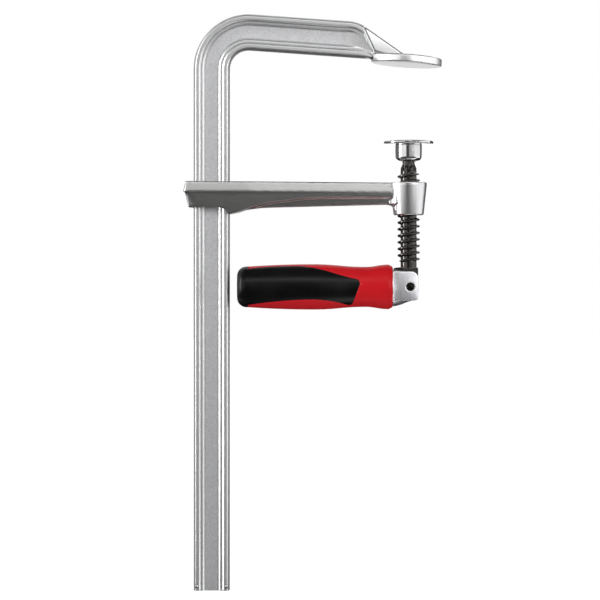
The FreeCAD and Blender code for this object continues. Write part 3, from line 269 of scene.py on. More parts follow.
class Surface:
    """One material's nodes, with the few building blocks that all surfaces here share."""

    def __init__(self, name):
        self.material = bpy.data.materials.new(name)
        self.material.use_nodes = True
        self.tree = self.material.node_tree
        self.shader = self.tree.nodes["Principled BSDF"]
        self.place = new_node(self.tree, "ShaderNodeTexCoord").outputs["Object"]

    def set(self, **inputs):
        """Connects the shader's inputs by name; underscores stand for spaces."""
        for name, value in inputs.items():
            connect(self.tree, value, self.shader.inputs[name.replace("_", " ")])

    def noise(self, size, detail=3.0, roughness=0.5, stretch=(1, 1, 1)):
        """Grain of the given size in metres; stretch draws it out along an axis."""
        mapping = new_node(self.tree, "ShaderNodeMapping", Vector=self.place,
                           Scale=tuple(1 / amount for amount in stretch))
        return new_node(self.tree, "ShaderNodeTexNoise", Vector=mapping.outputs[0],
                        Scale=1 / size, Detail=detail, Roughness=roughness).outputs["Fac"]

    def remap(self, value, low, high, from_low=0.3, from_high=0.7):
        """Spreads the values from from_low to from_high over low to high, and clamps."""
        return new_node(self.tree, "ShaderNodeMapRange", Value=value, From_Min=from_low,
                        From_Max=from_high, To_Min=low, To_Max=high).outputs["Result"]

    def blend(self, factor, first, second):
        """Mixes two colours, each a tuple or a node's output."""
        mix = new_node(self.tree, "ShaderNodeMix", Factor=factor)
        mix.data_type = "RGBA"
        colours = [socket for socket in mix.inputs if socket.type == "RGBA"]
        for socket, colour in zip(colours, (first, second)):
            connect(self.tree, (*colour, 1) if isinstance(colour, tuple) else colour, socket)
        return next(socket for socket in mix.outputs if socket.type == "RGBA")

    def soft_edges(self, radius):
        """The normal with edges rounded by this radius, and a mask that is 1 on edges."""
        bevel = new_node(self.tree, "ShaderNodeBevel", Radius=radius)
        bevel.samples = 6
        soft = bevel.outputs["Normal"]
        true = new_node(self.tree, "ShaderNodeNewGeometry").outputs["Normal"]
        agree = vector_math(self.tree, "DOT_PRODUCT", soft, true)["Value"]
        return soft, self.remap(agree, 1.0, 0.0, *EDGE_BAND)

    def creases(self, reach):
        """A mask that is 1 deep in inner corners, read from how shut in the surface is."""
        shut = new_node(self.tree, "ShaderNodeAmbientOcclusion", Distance=reach)
        shut.samples = 8
        shut.only_local = True
        return self.remap(shut.outputs["AO"], 1.0, 0.0, *CORNER_BAND)

    def bump(self, height, distance, strength, normal):
        """The given normal with fine relief on top."""
        return new_node(self.tree, "ShaderNodeBump", Height=height, Distance=distance,
                        Strength=strength, Normal=normal).outputs["Normal"]

    def near_axis(self, radius, fade=0.5 * MM):
        """A mask that is 1 within this distance of the object's Z axis."""
        flat = vector_math(self.tree, "MULTIPLY", self.place, (1, 1, 0))["Vector"]
        away = vector_math(self.tree, "LENGTH", flat)["Value"]
        return self.remap(away, 1.0, 0.0, radius, radius + fade)

    def far_from_web(self, depth, fade=0.3 * MM):
        """A mask that is 1 where the surface stands further than depth from the XZ plane."""
        place = new_node(self.tree, "ShaderNodeSeparateXYZ", Vector=self.place)
        side = calculated(self.tree, "ABSOLUTE", place.outputs["Y"])[0]
        return self.remap(side, 0.0, 1.0, depth - fade, depth + fade)

    def beyond(self, *planes, fade=0.15 * MM):
        """A mask that is 1 beyond all the planes, each a direction and a distance."""
        inside = None
        for direction, distance in planes:
            along = vector_math(self.tree, "DOT_PRODUCT", self.place, direction)["Value"]
            past = self.remap(along, 0.0, 1.0, distance - fade, distance + fade)
            inside = past if inside is None else calculated(
                self.tree, "MULTIPLY", inside, past)[0]
        return inside

    def mix_value(self, factor, first, second):
        """Blends a node's value towards a constant."""
        return new_node(self.tree, "ShaderNodeMix", Factor=factor, A=first,
                        B=second).outputs["Result"]


def scaled(colour, factor):
    """A colour made brighter or darker, and held at white."""
    return tuple(min(1.0, channel * factor) for channel in colour)


def plated_steel(name, light, dark, roughness, grain=0.5 * MM, streak=(1, 1, 1), edge=0.5 * MM,
                 relief=0.02 * MM, fleck=0.62, turned=None, rubbed=None, dirt_and_crease_shade=None,
                 dark_slope_planes=None):
    """Zinc-plated or ground steel: fine grain, soft mottling, and lighter edges that are
    partly rubbed wear and partly a painted highlight.
    turned is (radius, colour, roughness) of a brighter part turned about the Z axis.
    rubbed is (depth, roughness, plane) of faces that stand out from the web, or lie beyond
    the plane, and are smoother. dirt_and_crease_shade is the reach within which the inner
    corners are darkened, a painted shade mixed with oil and dust. dark_slope_planes holds the
    planes beyond which the surface is made dark and smooth."""
    surface = Surface(name)
    normal, edges = surface.soft_edges(edge)
    mottling = surface.remap(surface.noise(1.6 * MM, 5.0, 0.65, streak), 0.0, 1.0)
    fine = surface.noise(grain, 2.0, 0.6, streak)
    body = surface.blend(mottling, dark, light)
    speckle = surface.remap(fine, 0.0, 0.45, 0.45, 0.75)
    body = surface.blend(speckle, body, scaled(dark, fleck))
    # Edges are made lighter: partly rubbed wear, partly a painted highlight.
    body = surface.blend(edges, body, scaled(light, 1.15))
    matt = surface.remap(fine, roughness - 0.06, roughness + 0.08)
    if turned:
        radius, bright, smooth = turned
        inside = surface.near_axis(radius)
        body = surface.blend(inside, body, bright)
        matt = surface.mix_value(inside, matt, smooth)
    if rubbed:
        depth, smooth, hammered = rubbed
        standing = calculated(surface.tree, "MAXIMUM", surface.far_from_web(depth),
                              surface.beyond(hammered))[0]
        body = surface.blend(standing, body, scaled(light, 1.12))
        matt = surface.mix_value(standing, matt, smooth)
    # Inner corners are darkened here: a painted shade, mixed with oil and dust.
    if dirt_and_crease_shade:
        body = surface.blend(surface.creases(dirt_and_crease_shade), body, scaled(dark, 0.16))
    # Beyond these planes the jaw web's sloping top face is made dark and smooth.
    if dark_slope_planes:
        cut = surface.beyond(*dark_slope_planes)
        body = surface.blend(cut, body, scaled(dark, 0.20))
        matt = surface.mix_value(cut, matt, 0.34)
    surface.set(Metallic=1.0, Base_Color=body, Roughness=matt,
                Normal=surface.bump(fine, relief, 0.7, normal))
    return surface.material


def polished(name, tint, roughness):
    """Bright plating with faint turning marks."""
    surface = Surface(name)
    normal, _ = surface.soft_edges(0.25 * MM)
    marks = surface.noise(0.25 * MM, 2.0, 0.5, (1, 1, 30))
    haze = surface.noise(9 * MM, 3.0)
    mist = surface.remap(haze, 0.0, 1.0)
    surface.set(Metallic=1.0, Base_Color=surface.blend(mist, tint, scaled(tint, 0.86)),
                Roughness=surface.remap(haze, roughness, roughness + 0.10),
                Normal=surface.bump(marks, 0.004 * MM, 0.4, normal))
    return surface.material


def dark_oxide(name, worn=(0.55, 0.52, 0.46), oil=1.0, threaded=None):
    """Oiled black oxide: near black, brownish where thin, rubbed bright on the crests.
    threaded is the plane beyond which edges are rubbed, where only a part of them is."""
    surface = Surface(name)
    normal, edges = surface.soft_edges(0.22 * MM)
    patches = surface.remap(surface.noise(3 * MM, 4.0, 0.6), 0.0, 1.0)
    body = surface.blend(patches, (0.008, 0.007, 0.005), (0.024, 0.020, 0.015))
    rubbed = surface.remap(edges, 0.0, 1.0, 0.55, 0.95)
    bright = surface.blend(rubbed, body, worn)
    if threaded:
        bright = surface.blend(surface.beyond(threaded), body, bright)
    fine = surface.noise(0.35 * MM, 3.0, 0.6)
    surface.set(Metallic=0.9, Coat_Weight=oil, Coat_Roughness=0.06, Coat_IOR=1.65,
                Base_Color=bright, Roughness=surface.remap(fine, 0.16, 0.30),
                Normal=surface.bump(fine, 0.008 * MM, 0.3, normal))
    return surface.material


def hard_plastic(name, body, shade):
    """Moulded plastic: nearly smooth, with a faint orange-peel and rubbed patches."""
    surface = Surface(name)
    normal, _ = surface.soft_edges(0.5 * MM)
    drift = surface.remap(surface.noise(22 * MM, 3.0), 0.0, 1.0)
    peel = surface.noise(1.3 * MM, 2.0, 0.4)
    rubbed = surface.noise(11 * MM, 4.0, 0.6)
    surface.set(Specular_IOR_Level=0.13, IOR=1.49,
                Base_Color=surface.blend(drift, body, shade),
                Roughness=surface.remap(rubbed, 0.34, 0.44),
                Normal=surface.bump(peel, 0.010 * MM, 0.35, normal))
    return surface.material


def elastomer(name):
    """Soft black moulding: matt and finely textured, with greyer edges that are partly
    polished by hands and partly a painted highlight.
    """
    surface = Surface(name)
    normal, edges = surface.soft_edges(0.5 * MM)
    drift = surface.remap(surface.noise(16 * MM, 4.0, 0.6), 0.0, 1.0)
    body = surface.blend(drift, (0.0016, 0.0016, 0.0020), (0.0034, 0.0034, 0.0040))
    texture = surface.noise(0.45 * MM, 2.0, 0.5)
    surface.set(Specular_IOR_Level=0.22,
                # The edges are painted grey: polish from hands, and a painted highlight.
                Base_Color=surface.blend(edges, body, (0.014, 0.014, 0.015)),
                Roughness=surface.remap(drift, 0.28, 0.36, 0.0, 1.0),
                Normal=surface.bump(texture, 0.03 * MM, 0.30, normal))
    return surface.material


materials = {
    "rail_steel": plated_steel("rail_steel", (0.89, 0.895, 0.91), (0.72, 0.72, 0.73), 0.50,
                               rubbed=(4.2 * MM, 0.37, ((1, 0, 0), -29 * MM)),
                               # The rail's inner corners are darkened: painted shade, mixed
                               # with oil and dust.
                               dirt_and_crease_shade=1.4 * MM, fleck=0.55,
                               # These planes mark off the jaw web's sloping top face, which is
                               # made dark.
                               dark_slope_planes=[((0.574, 0, 0.819), 3.2 * MM),
                                        ((0, 0, 1), 5.4 * MM), ((-1, 0, 0), 3 * MM)]),
    "arm_steel": plated_steel("arm_steel", (0.55, 0.55, 0.54), (0.50, 0.50, 0.49), 0.34,
                              streak=(10, 1, 1), edge=0.3 * MM, relief=0.002 * MM,
                              fleck=0.92, turned=(12.6 * MM, (0.78, 0.78, 0.79), 0.29)),
    "screw_steel": dark_oxide("screw_steel", threaded=((0, 0, -1), 71.6 * MM)),
    "cap_steel": plated_steel("cap_steel", (0.6, 0.6, 0.6), (0.5, 0.5, 0.5), 0.25),
    "liner_plastic": hard_plastic("liner_plastic", (0.03, 0.03, 0.032), (0.05, 0.05, 0.052)),
    "plate_chrome": polished("plate_chrome", (0.82, 0.82, 0.83), 0.07),
    "fork_steel": plated_steel("fork_steel", (0.96, 0.96, 0.99), (0.80, 0.80, 0.83), 0.42,
                               grain=0.5 * MM, streak=(1, 1, 3), edge=0.3 * MM, fleck=0.80),
    "pin_steel": dark_oxide("pin_steel", (0.02, 0.019, 0.017), 0.1),
    "spring_steel": plated_steel("spring_steel", (0.5, 0.5, 0.5), (0.4, 0.4, 0.4), 0.25),
    "core_red": hard_plastic("core_red", (0.52, 0.007, 0.012), (0.47, 0.005, 0.010)),
    "grip_black": elastomer("grip_black"),
}
print(len(materials), "materials")

# %% [markdown]
# ## Smooth copies of the solids
#
# The CAD nodes arrive as loose triangles, which shade as facets. Most pieces only need their
# triangles joined and their curved faces shaded smoothly, so each gets a merged copy that
# stands for its node. The shapes that the forge or the mould softened are made anew further
# down, where a plain copy would look too crisp.

# %% Read the record and dress a node
SLOT_OF = {part["node"]: part["material_slot"] for part in frame["record"]["subparts"]}
BODY_OF = {node: body for body, nodes in frame["record"]["behaviour"]["bodies"].items()
           for node in nodes}
SMOOTH_BELOW = 32       # degrees between faces that shade as one surface
dressed = set()


def finish_piece(piece, node, smooth_below=SMOOTH_BELOW):
    """Shades a new piece and gives it the material, body and node that the record names.
    Edges sharper than smooth_below degrees stay sharp."""
    mesh = piece.data
    mesh.polygons.foreach_set("use_smooth", [True] * len(mesh.polygons))
    mesh.set_sharp_from_angle(angle=math.radians(smooth_below))
    mesh.update()
    mesh.materials.clear()
    mesh.materials.append(materials[SLOT_OF[node]])
    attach(piece, BODY_OF[node])
    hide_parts(node)
    dressed.add(node)
    print(node, len(mesh.polygons), "faces")


def joined_piece(name, mesh, gap):
    """An object at the origin, its mesh joined within the gap and its normals outwards."""
    shape = bmesh.new()
    shape.from_mesh(mesh)
    bmesh.ops.remove_doubles(shape, verts=shape.verts, dist=gap * MM)
    bmesh.ops.recalc_face_normals(shape, faces=shape.faces)
    shape.to_mesh(mesh)
    shape.free()
    piece = bpy.data.objects.new(name, mesh)
    bpy.context.collection.objects.link(piece)
    return piece


def merged_copy(node, name):
    """A joined copy of the node's mesh."""
    mesh = frame["nodes"][node].data.copy()
    mesh.name = name
    return joined_piece(name, mesh, 0.002)


print(len(SLOT_OF), "nodes to dress")

# %% [markdown]
# ## Building blocks for new meshes
#
# Turned, swept and forged shapes only need three tools: a profile with rounded corners, a
# lathe, and a loft through a row of rings. Each gives a list of points and faces, so several
# can be joined in one mesh, the way one bar of steel is forged into several forms.

# %% Profiles, lathe and loft


def rounded(corners, closed=True, step=math.radians(18)):
    """Replaces each corner (x, y, radius) by an arc; a radius of zero keeps it sharp."""
    points = []
    count = len(corners)
    for number, (x, y, radius) in enumerate(corners):
        here = Vector((x, y))
        if radius <= 0 or (not closed and number in (0, count - 1)):
            points.append(here)
            continue
        before = Vector(corners[number - 1][:2]) - here
        after = Vector(corners[(number + 1) % count][:2]) - here
        half = before.angle(after) / 2
        reach = min(radius / math.tan(half), before.length * 0.49, after.length * 0.49)
        radius = reach * math.tan(half)
        middle = (before.normalized() + after.normalized()).normalized()
        centre = here + middle * (radius / math.sin(half))
        start = here + before.normalized() * reach - centre
        sweep = math.pi - half * 2
        turn = 1 if before.x * after.y - before.y * after.x < 0 else -1
        pieces = max(2, math.ceil(sweep / step))
        for piece in range(pieces + 1):
            angle = turn * sweep * piece / pieces
            points.append(centre + Vector((
                start.x * math.cos(angle) - start.y * math.sin(angle),
                start.x * math.sin(angle) + start.y * math.cos(angle))))
    return points


def loft(rings):
    """Points and faces through rings of equal length, with flat caps at both ends."""
    points = [Vector(point) for ring in rings for point in ring]
    size = len(rings[0])
    faces = []
    for ring in range(len(rings) - 1):
        low, high = ring * size, (ring + 1) * size
        for place in range(size):
            beside = (place + 1) % size
            faces.append((low + place, low + beside, high + beside, high + place))
    faces.append(tuple(range(size))[::-1])
    faces.append(tuple(range(len(points) - size, len(points))))
    return points, faces


def lathe(profile, steps=128, closed=False):
    """Turns (radius, height) points about Z. An open profile starts and ends on the axis."""
    points, faces, rings = [], [], []
    for radius, height in profile:
        if radius < 1e-6:
            rings.append([len(points)] * steps)
            points.append(Vector((0, 0, height)))
            continue
        rings.append(list(range(len(points), len(points) + steps)))
        for step in range(steps):
            angle = math.tau * step / steps
            points.append(Vector((radius * math.cos(angle), radius * math.sin(angle), height)))
    for low, high in zip(rings, rings[1:] + rings[:1] if closed else rings[1:]):
        for step in range(steps):
            beside = (step + 1) % steps
            face = [low[step], low[beside], high[beside], high[step]]
            corners = [c for n, c in enumerate(face) if c not in face[:n]]
            if len(corners) > 2:
                faces.append(tuple(corners))
    return points, faces


def joined(*shapes):
    """One list of points and faces out of several."""
    points, faces = [], []
    for shape_points, shape_faces in shapes:
        start = len(points)
        points.extend(shape_points)
        faces.extend(tuple(corner + start for corner in face) for face in shape_faces)
    return points, faces


def reshaped(shape, change):
    """The same faces with every point put through a function."""
    points, faces = shape
    return [change(point) for point in points], faces


def moved(shape, matrix):
    """The same shape put elsewhere."""
    return reshaped(shape, lambda point: matrix @ point)


def dress(node, shape, smooth_below=SMOOTH_BELOW):
    """Makes the node's piece from points in millimetres and faces."""
    points, faces = shape
    name = f"{node}_look"
    mesh = bpy.data.meshes.new(name)
    mesh.from_pydata([tuple(point * MM) for point in points], [], faces)
    finish_piece(joined_piece(name, mesh, 0.0005), node, smooth_below)


def ramp(value, low, high):
    """Goes straight from 0 at low to 1 at high."""
    return min(1.0, max(0.0, (value - low) / (high - low)))


def eased(value, low, high):
    """Goes smoothly from 0 at low to 1 at high."""
    share = ramp(value, low, high)
    return share * share * (3 - 2 * share)


def at_radius(point, radius):
    """The point drawn in or out to this distance from the Z axis."""
    factor = radius / math.hypot(point.x, point.y)
    return Vector((point.x * factor, point.y * factor, point.z))


def bite(away, size, angle):
    """How near to the middle a round groove reaches in a direction. The groove's centre
    lies away from the middle, and the angle is counted from it."""
    inside = size ** 2 - (away * math.sin(angle)) ** 2
    if inside <= 0 or math.cos(angle) <= 0:
        return math.inf
    return away * math.cos(angle) - math.sqrt(inside)


def both_faces(steps):
    """Edge steps (inset, depth) of a plate, given for one face and mirrored to the other."""
    return [(inset, -depth) for inset, depth in steps] + steps[::-1]


# %% [markdown]
# ## Rail, bow and bracket
#
# The real bar is drawn steel: two lips with slanted edges stand over a web, and a small
# ledge runs between them. It is bent cold into the bow, and hot forging squeezes its end, so
# the ledge lines turn down with the lips instead of being cut off. A sweep in Geometry Nodes
# gives the bar from one section and one path, and the end is then squeezed slice by slice.

# %% Draw the section and the path
RAIL_AXIS = -132.15
RAIL_HALF = 12.15
RAIL_SIDE = 5.75
RAIL_END = -352.5
TILT = math.radians(4)
BOW_CENTRE = Vector((-107.4, -2.9))
BOW_RADIUS = 24.75
LIP_INNER, GROOVE_INNER = 8.2, 4.6      # from the section's middle line
END_FROM, END_TO = -42.0, -22.6
FINE_FROM = -50.0       # from here on the path has short steps, and the forging begins

quarter = [(RAIL_HALF, 1.0, 1.0), (11.2, 4.75, 0.4), (10.5, RAIL_SIDE, 0.4),
           (LIP_INNER, RAIL_SIDE, 0.25), (7.2, 4.75, 0.25), (5.7, 4.75, 0.25),
           (GROOVE_INNER, 3.75, 0.4)]
far_half = quarter + [(-x, y, r) for x, y, r in reversed(quarter)]
section_points = rounded(far_half + [(x, -y, r) for x, y, r in reversed(far_half)])

bracket_start = BOW_CENTRE + Vector((math.sin(TILT), math.cos(TILT))) * BOW_RADIUS


def bracket_middle(x):
    """The height of the bracket's middle line."""
    return bracket_start.y - (x - bracket_start.x) * math.tan(TILT)


def bracket_points(start, end, steps):
    """Points along the bracket's middle line, the first one left out."""
    stations = [start + (end - start) * part / steps for part in range(1, steps + 1)]
    return [Vector((x, bracket_middle(x))) for x in stations]


path = [Vector((RAIL_AXIS, RAIL_END + (BOW_CENTRE.y - RAIL_END) * part / 6))
        for part in range(6)]
for part in range(49):
    angle = math.pi - (math.pi / 2 + TILT) * part / 48
    path.append(BOW_CENTRE + Vector((math.cos(angle), math.sin(angle))) * BOW_RADIUS)
path += bracket_points(bracket_start.x, FINE_FROM, 4)
path += bracket_points(FINE_FROM, END_TO, 72)


def poly_curve(name, points, cyclic=False):
    """A curve object through the given millimetre points."""
    data = bpy.data.curves.new(name, "CURVE")
    data.dimensions = "3D"
    spline = data.splines.new("POLY")
    spline.points.add(len(points) - 1)
    for place, point in zip(spline.points, points):
        place.co = (*(Vector(point) * MM), 1)
    spline.use_cyclic_u = cyclic
    thing = bpy.data.objects.new(name, data)
    bpy.context.collection.objects.link(thing)
    return thing


rail_path = poly_curve("rail_path", [(point.x, 0, point.y) for point in path])
rail_profile = poly_curve("rail_profile", [(p.y, p.x, 0) for p in section_points], True)
print(len(section_points), "points round the section,", len(path), "along the bar")

# %% Sweep it with Geometry Nodes


def sweep_group(name):
    """Sweeps a profile curve along the modifier's own curve, kept upright by one normal."""
    group = bpy.data.node_groups.new(name, "GeometryNodeTree")
    face = group.interface
    for socket, kind in (("Geometry", "Geometry"), ("Profile", "Object"),
                         ("Normal", "Vector"), ("Material", "Material")):
        face.new_socket(socket, in_out="INPUT", socket_type=f"NodeSocket{kind}")
    face.new_socket("Geometry", in_out="OUTPUT", socket_type="NodeSocketGeometry")
    given = new_node(group, "NodeGroupInput").outputs
    tangent = new_node(group, "GeometryNodeInputTangent").outputs["Tangent"]
    across = vector_math(group, "CROSS_PRODUCT", given["Normal"], tangent)["Vector"]
    square = vector_math(group, "CROSS_PRODUCT", tangent, across)["Vector"]
    upright = new_node(group, "GeometryNodeSetCurveNormal", Curve=given["Geometry"])
    upright.mode = "FREE"
    connect(group, square, upright.inputs["Normal"])
    profile = new_node(group, "GeometryNodeObjectInfo", Object=given["Profile"])
    tube = new_node(group, "GeometryNodeCurveToMesh", Curve=upright.outputs["Curve"],
                    Profile_Curve=profile.outputs["Geometry"], Fill_Caps=True)
    solid = new_node(group, "GeometryNodeRealizeInstances", Geometry=tube.outputs["Mesh"])
    painted = new_node(group, "GeometryNodeSetMaterial", Geometry=solid.outputs["Geometry"],
                       Material=given["Material"])
    new_node(group, "NodeGroupOutput", Geometry=painted.outputs["Geometry"])
    return group


def baked(thing, *helpers):
    """The evaluated mesh as plain points and faces; it and its helpers are removed."""
    bpy.context.view_layer.update()
    graph = bpy.context.evaluated_depsgraph_get()
    mesh = bpy.data.meshes.new_from_object(thing.evaluated_get(graph))
    points = [vertex.co / MM for vertex in mesh.vertices]
    faces = [tuple(face.vertices) for face in mesh.polygons]
    bpy.data.meshes.remove(mesh)
    for helper in (thing, *helpers):
        bpy.data.objects.remove(helper)
    return points, faces


def swept(path_object, profile_object, normal, material):
    """Points and faces of a profile swept along a path; both curves are removed."""
    modifier = path_object.modifiers.new("sweep", "NODES")
    modifier.node_group = bar_sweep
    values = {"Profile": profile_object, "Normal": normal, "Material": materials[material]}
    for socket in bar_sweep.interface.items_tree:
        if socket.in_out == "INPUT" and socket.name in values:
            modifier[socket.identifier] = values[socket.name]
    return baked(path_object, profile_object)


bar_sweep = sweep_group("bar_sweep")
bar_shape = swept(rail_path, rail_profile, (0, 1, 0), "rail_steel")
print("swept bar with", len(bar_shape[0]), "points")

# %% Squeeze the forged end


def between(x, table):
    """Reads a table of (x, value) along straight lines; its ends hold beyond it."""
    if x <= table[0][0]:
        return table[0][1]
    for (left, low), (right, high) in zip(table, table[1:]):
        if x <= right:
            part = (x - left) / (right - left)
            return low + (high - low) * part
    return table[-1][1]


HALF_UPRIGHT = RAIL_HALF / math.cos(TILT)
CORNER_RADIUS = 24.0
corner_start = Vector((END_FROM, bracket_middle(END_FROM) + HALF_UPRIGHT))
corner_end = Vector((-30.2, corner_start.y - 3.2))
corner_half = (corner_end - corner_start) / 2
corner_rise = math.sqrt(CORNER_RADIUS ** 2 - corner_half.length_squared)
corner_centre = corner_start + corner_half - Vector(
    (-corner_half.y, corner_half.x)).normalized() * corner_rise
LIP_FOOT = Vector((-23.0, 9.4))


def top_line(x):
    """The height of the upper outline: straight, then a bend, then straight to the foot."""
    if x <= END_FROM:
        return bracket_middle(x) + HALF_UPRIGHT
    if x <= corner_end.x:
        return corner_centre.y + math.sqrt(CORNER_RADIUS ** 2 - (x - corner_centre.x) ** 2)
    slope = (LIP_FOOT.y - corner_end.y) / (LIP_FOOT.x - corner_end.x)
    return corner_end.y + slope * (x - corner_end.x)


def low_line(x):
    """The height of the lower outline, which stays straight."""
    return bracket_middle(x) - HALF_UPRIGHT


# Widths of lips and grooves along the end, and how far the web is filled up: (x, value).
UPPER_LIP = [(-42, 3.95), (-36, 4.1), (-31, 4.9), (-28, 5.4), (-25.5, 4.2), (-23, 2.0)]
UPPER_GROOVE = [(-42, 3.6), (-36, 3.7), (-31, 4.4), (-28, 4.6), (-25.5, 2.9), (-23, 1.3)]
LOWER_LIP = [(-42, 3.95), (-34, 3.9), (-30, 3.4), (-27, 2.4), (-23, 1.0)]
LOWER_GROOVE = [(-42, 3.6), (-34, 3.4), (-30, 2.9), (-27, 2.0), (-23, 1.0)]
FILLED = [(-47, 0.0), (-44, 0.05), (-41, 0.2), (-36, 0.62), (-33, 0.84), (-29, 0.96),
          (-25, 1.0)]
FILL_WITHIN, FILL_TO = 8, 0.93          # half height and final depth of the filled web


def squeezed(point):
    """Moves one point of the straight sweep to its place in the forged end."""
    if point.x <= FINE_FROM - 2 or point.z <= -1:
        return point
    right, up = point.x - bracket_start.x, point.z - bracket_start.y
    along = right * math.cos(TILT) - up * math.sin(TILT)
    across = right * math.sin(TILT) + up * math.cos(TILT)
    x = bracket_start.x + along * math.cos(TILT)
    if x < FINE_FROM or abs(across) > RAIL_HALF + 0.1:
        return point
    top, low = top_line(x), low_line(x)
    upper_lip = top - between(x, UPPER_LIP)
    lower_lip = low + between(x, LOWER_LIP)
    forged_z = between(across, [
        (-RAIL_HALF, low),
        (-LIP_INNER, lower_lip),
        (-GROOVE_INNER, lower_lip + between(x, LOWER_GROOVE)),
        (GROOVE_INNER, upper_lip - between(x, UPPER_GROOVE)),
        (LIP_INNER, upper_lip),
        (RAIL_HALF, top),
    ])
    forged = Vector((x, point.y, forged_z))
    side = RAIL_SIDE if point.y > 0 else -RAIL_SIDE
    if abs(across) < FILL_WITHIN:
        forged.y = point.y + (side * FILL_TO - point.y) * between(x, FILLED)
    return point.lerp(forged, eased(x, FINE_FROM, END_FROM))


bar_shape = reshaped(bar_shape, squeezed)
print("lip foot", [round(c, 1) for c in LIP_FOOT], "low line there", round(low_line(-23), 2))

# %% [markdown]
# ## Fixed jaw
#
# The jaw is the same steel, spread under the hammer into a disc, with a neck that widens
# towards it and a web on top that stiffens the corner. The disc is turned, the neck is a loft
# of rounded rectangles, and the web is a plate with rounded edges.

# %% Disc, neck, web and end stakes
DISC_RADIUS, DISC_THICK, DISC_MIDDLE = 23.6, 5.4, -1.5
disc_profile = rounded([(0, 0, 0), (DISC_RADIUS, 0, 1.1), (DISC_RADIUS, DISC_THICK, 1.3),
                        (0, DISC_THICK, 0)], False, math.radians(12))
disc_place = Matrix.Rotation(TILT, 4, "Y") @ Matrix.Translation((DISC_MIDDLE, 0, 0))
jaw_disc = moved(lathe(disc_profile, 160), disc_place)

NECK_FROM, NECK_LENGTH, NECK_STEPS = -29, 22, 28
neck_rings = []
for part in range(NECK_STEPS + 1):
    x = NECK_FROM + NECK_LENGTH * part / NECK_STEPS
    # The neck widens and flattens towards the disc, and its underside meets the disc's.
    grow, merge = ramp(x, -27, -8), ramp(x, -25, -20)
    half = 5.2 + 13.6 * grow ** 1.7
    face = -x * math.tan(TILT)
    low = (low_line(x) + 0.5) * (1 - merge) + (face + 1.6) * merge
    high = face + 4.9 + 3.3 * (1 - grow) ** 1.3
    ring = rounded([(-half, low, 1.2), (half, low, 1.2), (half, high, 1.5), (-half, high, 1.5)])
    neck_rings.append([(x, p.x, p.y) for p in ring])
jaw_neck = loft(neck_rings)

WEB_HALF, WEB_EDGE = 3.2, 1.1
web_outline = rounded([(-41, 10.8, 0), (-41, 25.0, 0), (-28.6, 25.0, 1.0), (-0.8, 5.5, 0),
                       (-0.8, 2.7, 0), (-23, 2.7, 0)])
web_steps = both_faces([(inset, WEB_HALF - WEB_EDGE + rise) for inset, rise in (
    (WEB_EDGE, WEB_EDGE), (WEB_EDGE * 0.3, WEB_EDGE * 0.7), (0, 0))])
jaw_web = loft([[(p.x, y, p.y - inset * 1.2 if p.y > 5 and p.x > -40 else p.y)
                 for p in web_outline] for inset, y in web_steps])

stakes = []
stake_profile = rounded([(0, -0.6, 0), (1.1, -0.6, 0), (1.1, 0.5, 0.45), (0, 0.5, 0)], False)
for side in (-1, 1):
    for face in (-1, 1):
        place = Matrix.Translation((RAIL_AXIS + 9.95 * side, -RAIL_SIDE * face, RAIL_END + 3))
        place @= Matrix.Rotation(UPRIGHT * face, 4, "X")
        stakes.append(moved(lathe(stake_profile, 32), place))

dress("rail_and_fixed_jaw", joined(bar_shape, jaw_disc, jaw_neck, jaw_web, *stakes), 40)

# %% [markdown]
# ## Sliding arm
#
# The arm is drop forged: a parting line runs round it, the flanks lean in for the die, and
# every edge is round because hot steel doesn't fill sharp corners. Modelling each rounding
# by hand would take long, so the solid is remeshed in fine voxels and relaxed, which is close
# to what blasting and tumbling do. The boss is turned afterwards on the real arm, so its
# skin is a clean lathe shape laid over the forging.

# %% Forge the arm and turn its boss


def softened(piece, voxel, passes):
    """Points and faces of a piece, remeshed in voxels of this size in millimetres, with
    its edges relaxed. The piece itself is removed."""
    grid = piece.modifiers.new("voxels", "REMESH")
    grid.mode = "VOXEL"
    grid.voxel_size = voxel * MM
    relax = piece.modifiers.new("relax", "SMOOTH")
    relax.factor = 0.5
    relax.iterations = passes
    return baked(piece)


BOSS_TOP, BOSS_BOTTOM = -78.8, -100.9
SKIN_DEPTH = 0.45
ARM_WEB_TOP = -89.0
DIE_DRAFT = math.radians(12)


def under_the_skin(point):
    """Draws the forging in a little where the turned boss covers it."""
    radius = math.hypot(point.x, point.y)
    if radius < 8.6 or radius > 13.4:
        return point
    covered = max(eased(abs(point.y), 5.0, 8.0), eased(point.x, -9.5, -5.0))
    height = min(max(point.z, BOSS_BOTTOM + 0.2), BOSS_TOP - 0.2)
    drawn = at_radius(point, radius - SKIN_DEPTH * covered)
    drawn.z += (height - point.z) * covered
    return drawn


def drafted(point):
    """Leans the lower web in by the die's draft, so that it looks down like the flanks."""
    if not -100 < point.x < -13 or point.z > ARM_WEB_TOP:
        return point
    share = 1 - eased(abs(point.y), 5.8, 7.2)
    lean = (ARM_WEB_TOP - point.z) * math.tan(DIE_DRAFT) * share
    return Vector((point.x, math.copysign(max(0.0, abs(point.y) - lean), point.y), point.z))


forging = softened(merged_copy("sliding_arm", "arm_forging"), 0.45, 18)
forging = reshaped(reshaped(forging, under_the_skin), drafted)
boss_profile = rounded([(8.3, BOSS_BOTTOM, 0.3), (10.1, BOSS_BOTTOM, 0.9),
                        (12.2, -80.8, 1.5), (12.2, BOSS_TOP, 0.9), (8.3, BOSS_TOP, 0.3)],
                       step=math.radians(10))
dress("sliding_arm", joined(forging, lathe(boss_profile, 160, closed=True)), 50)

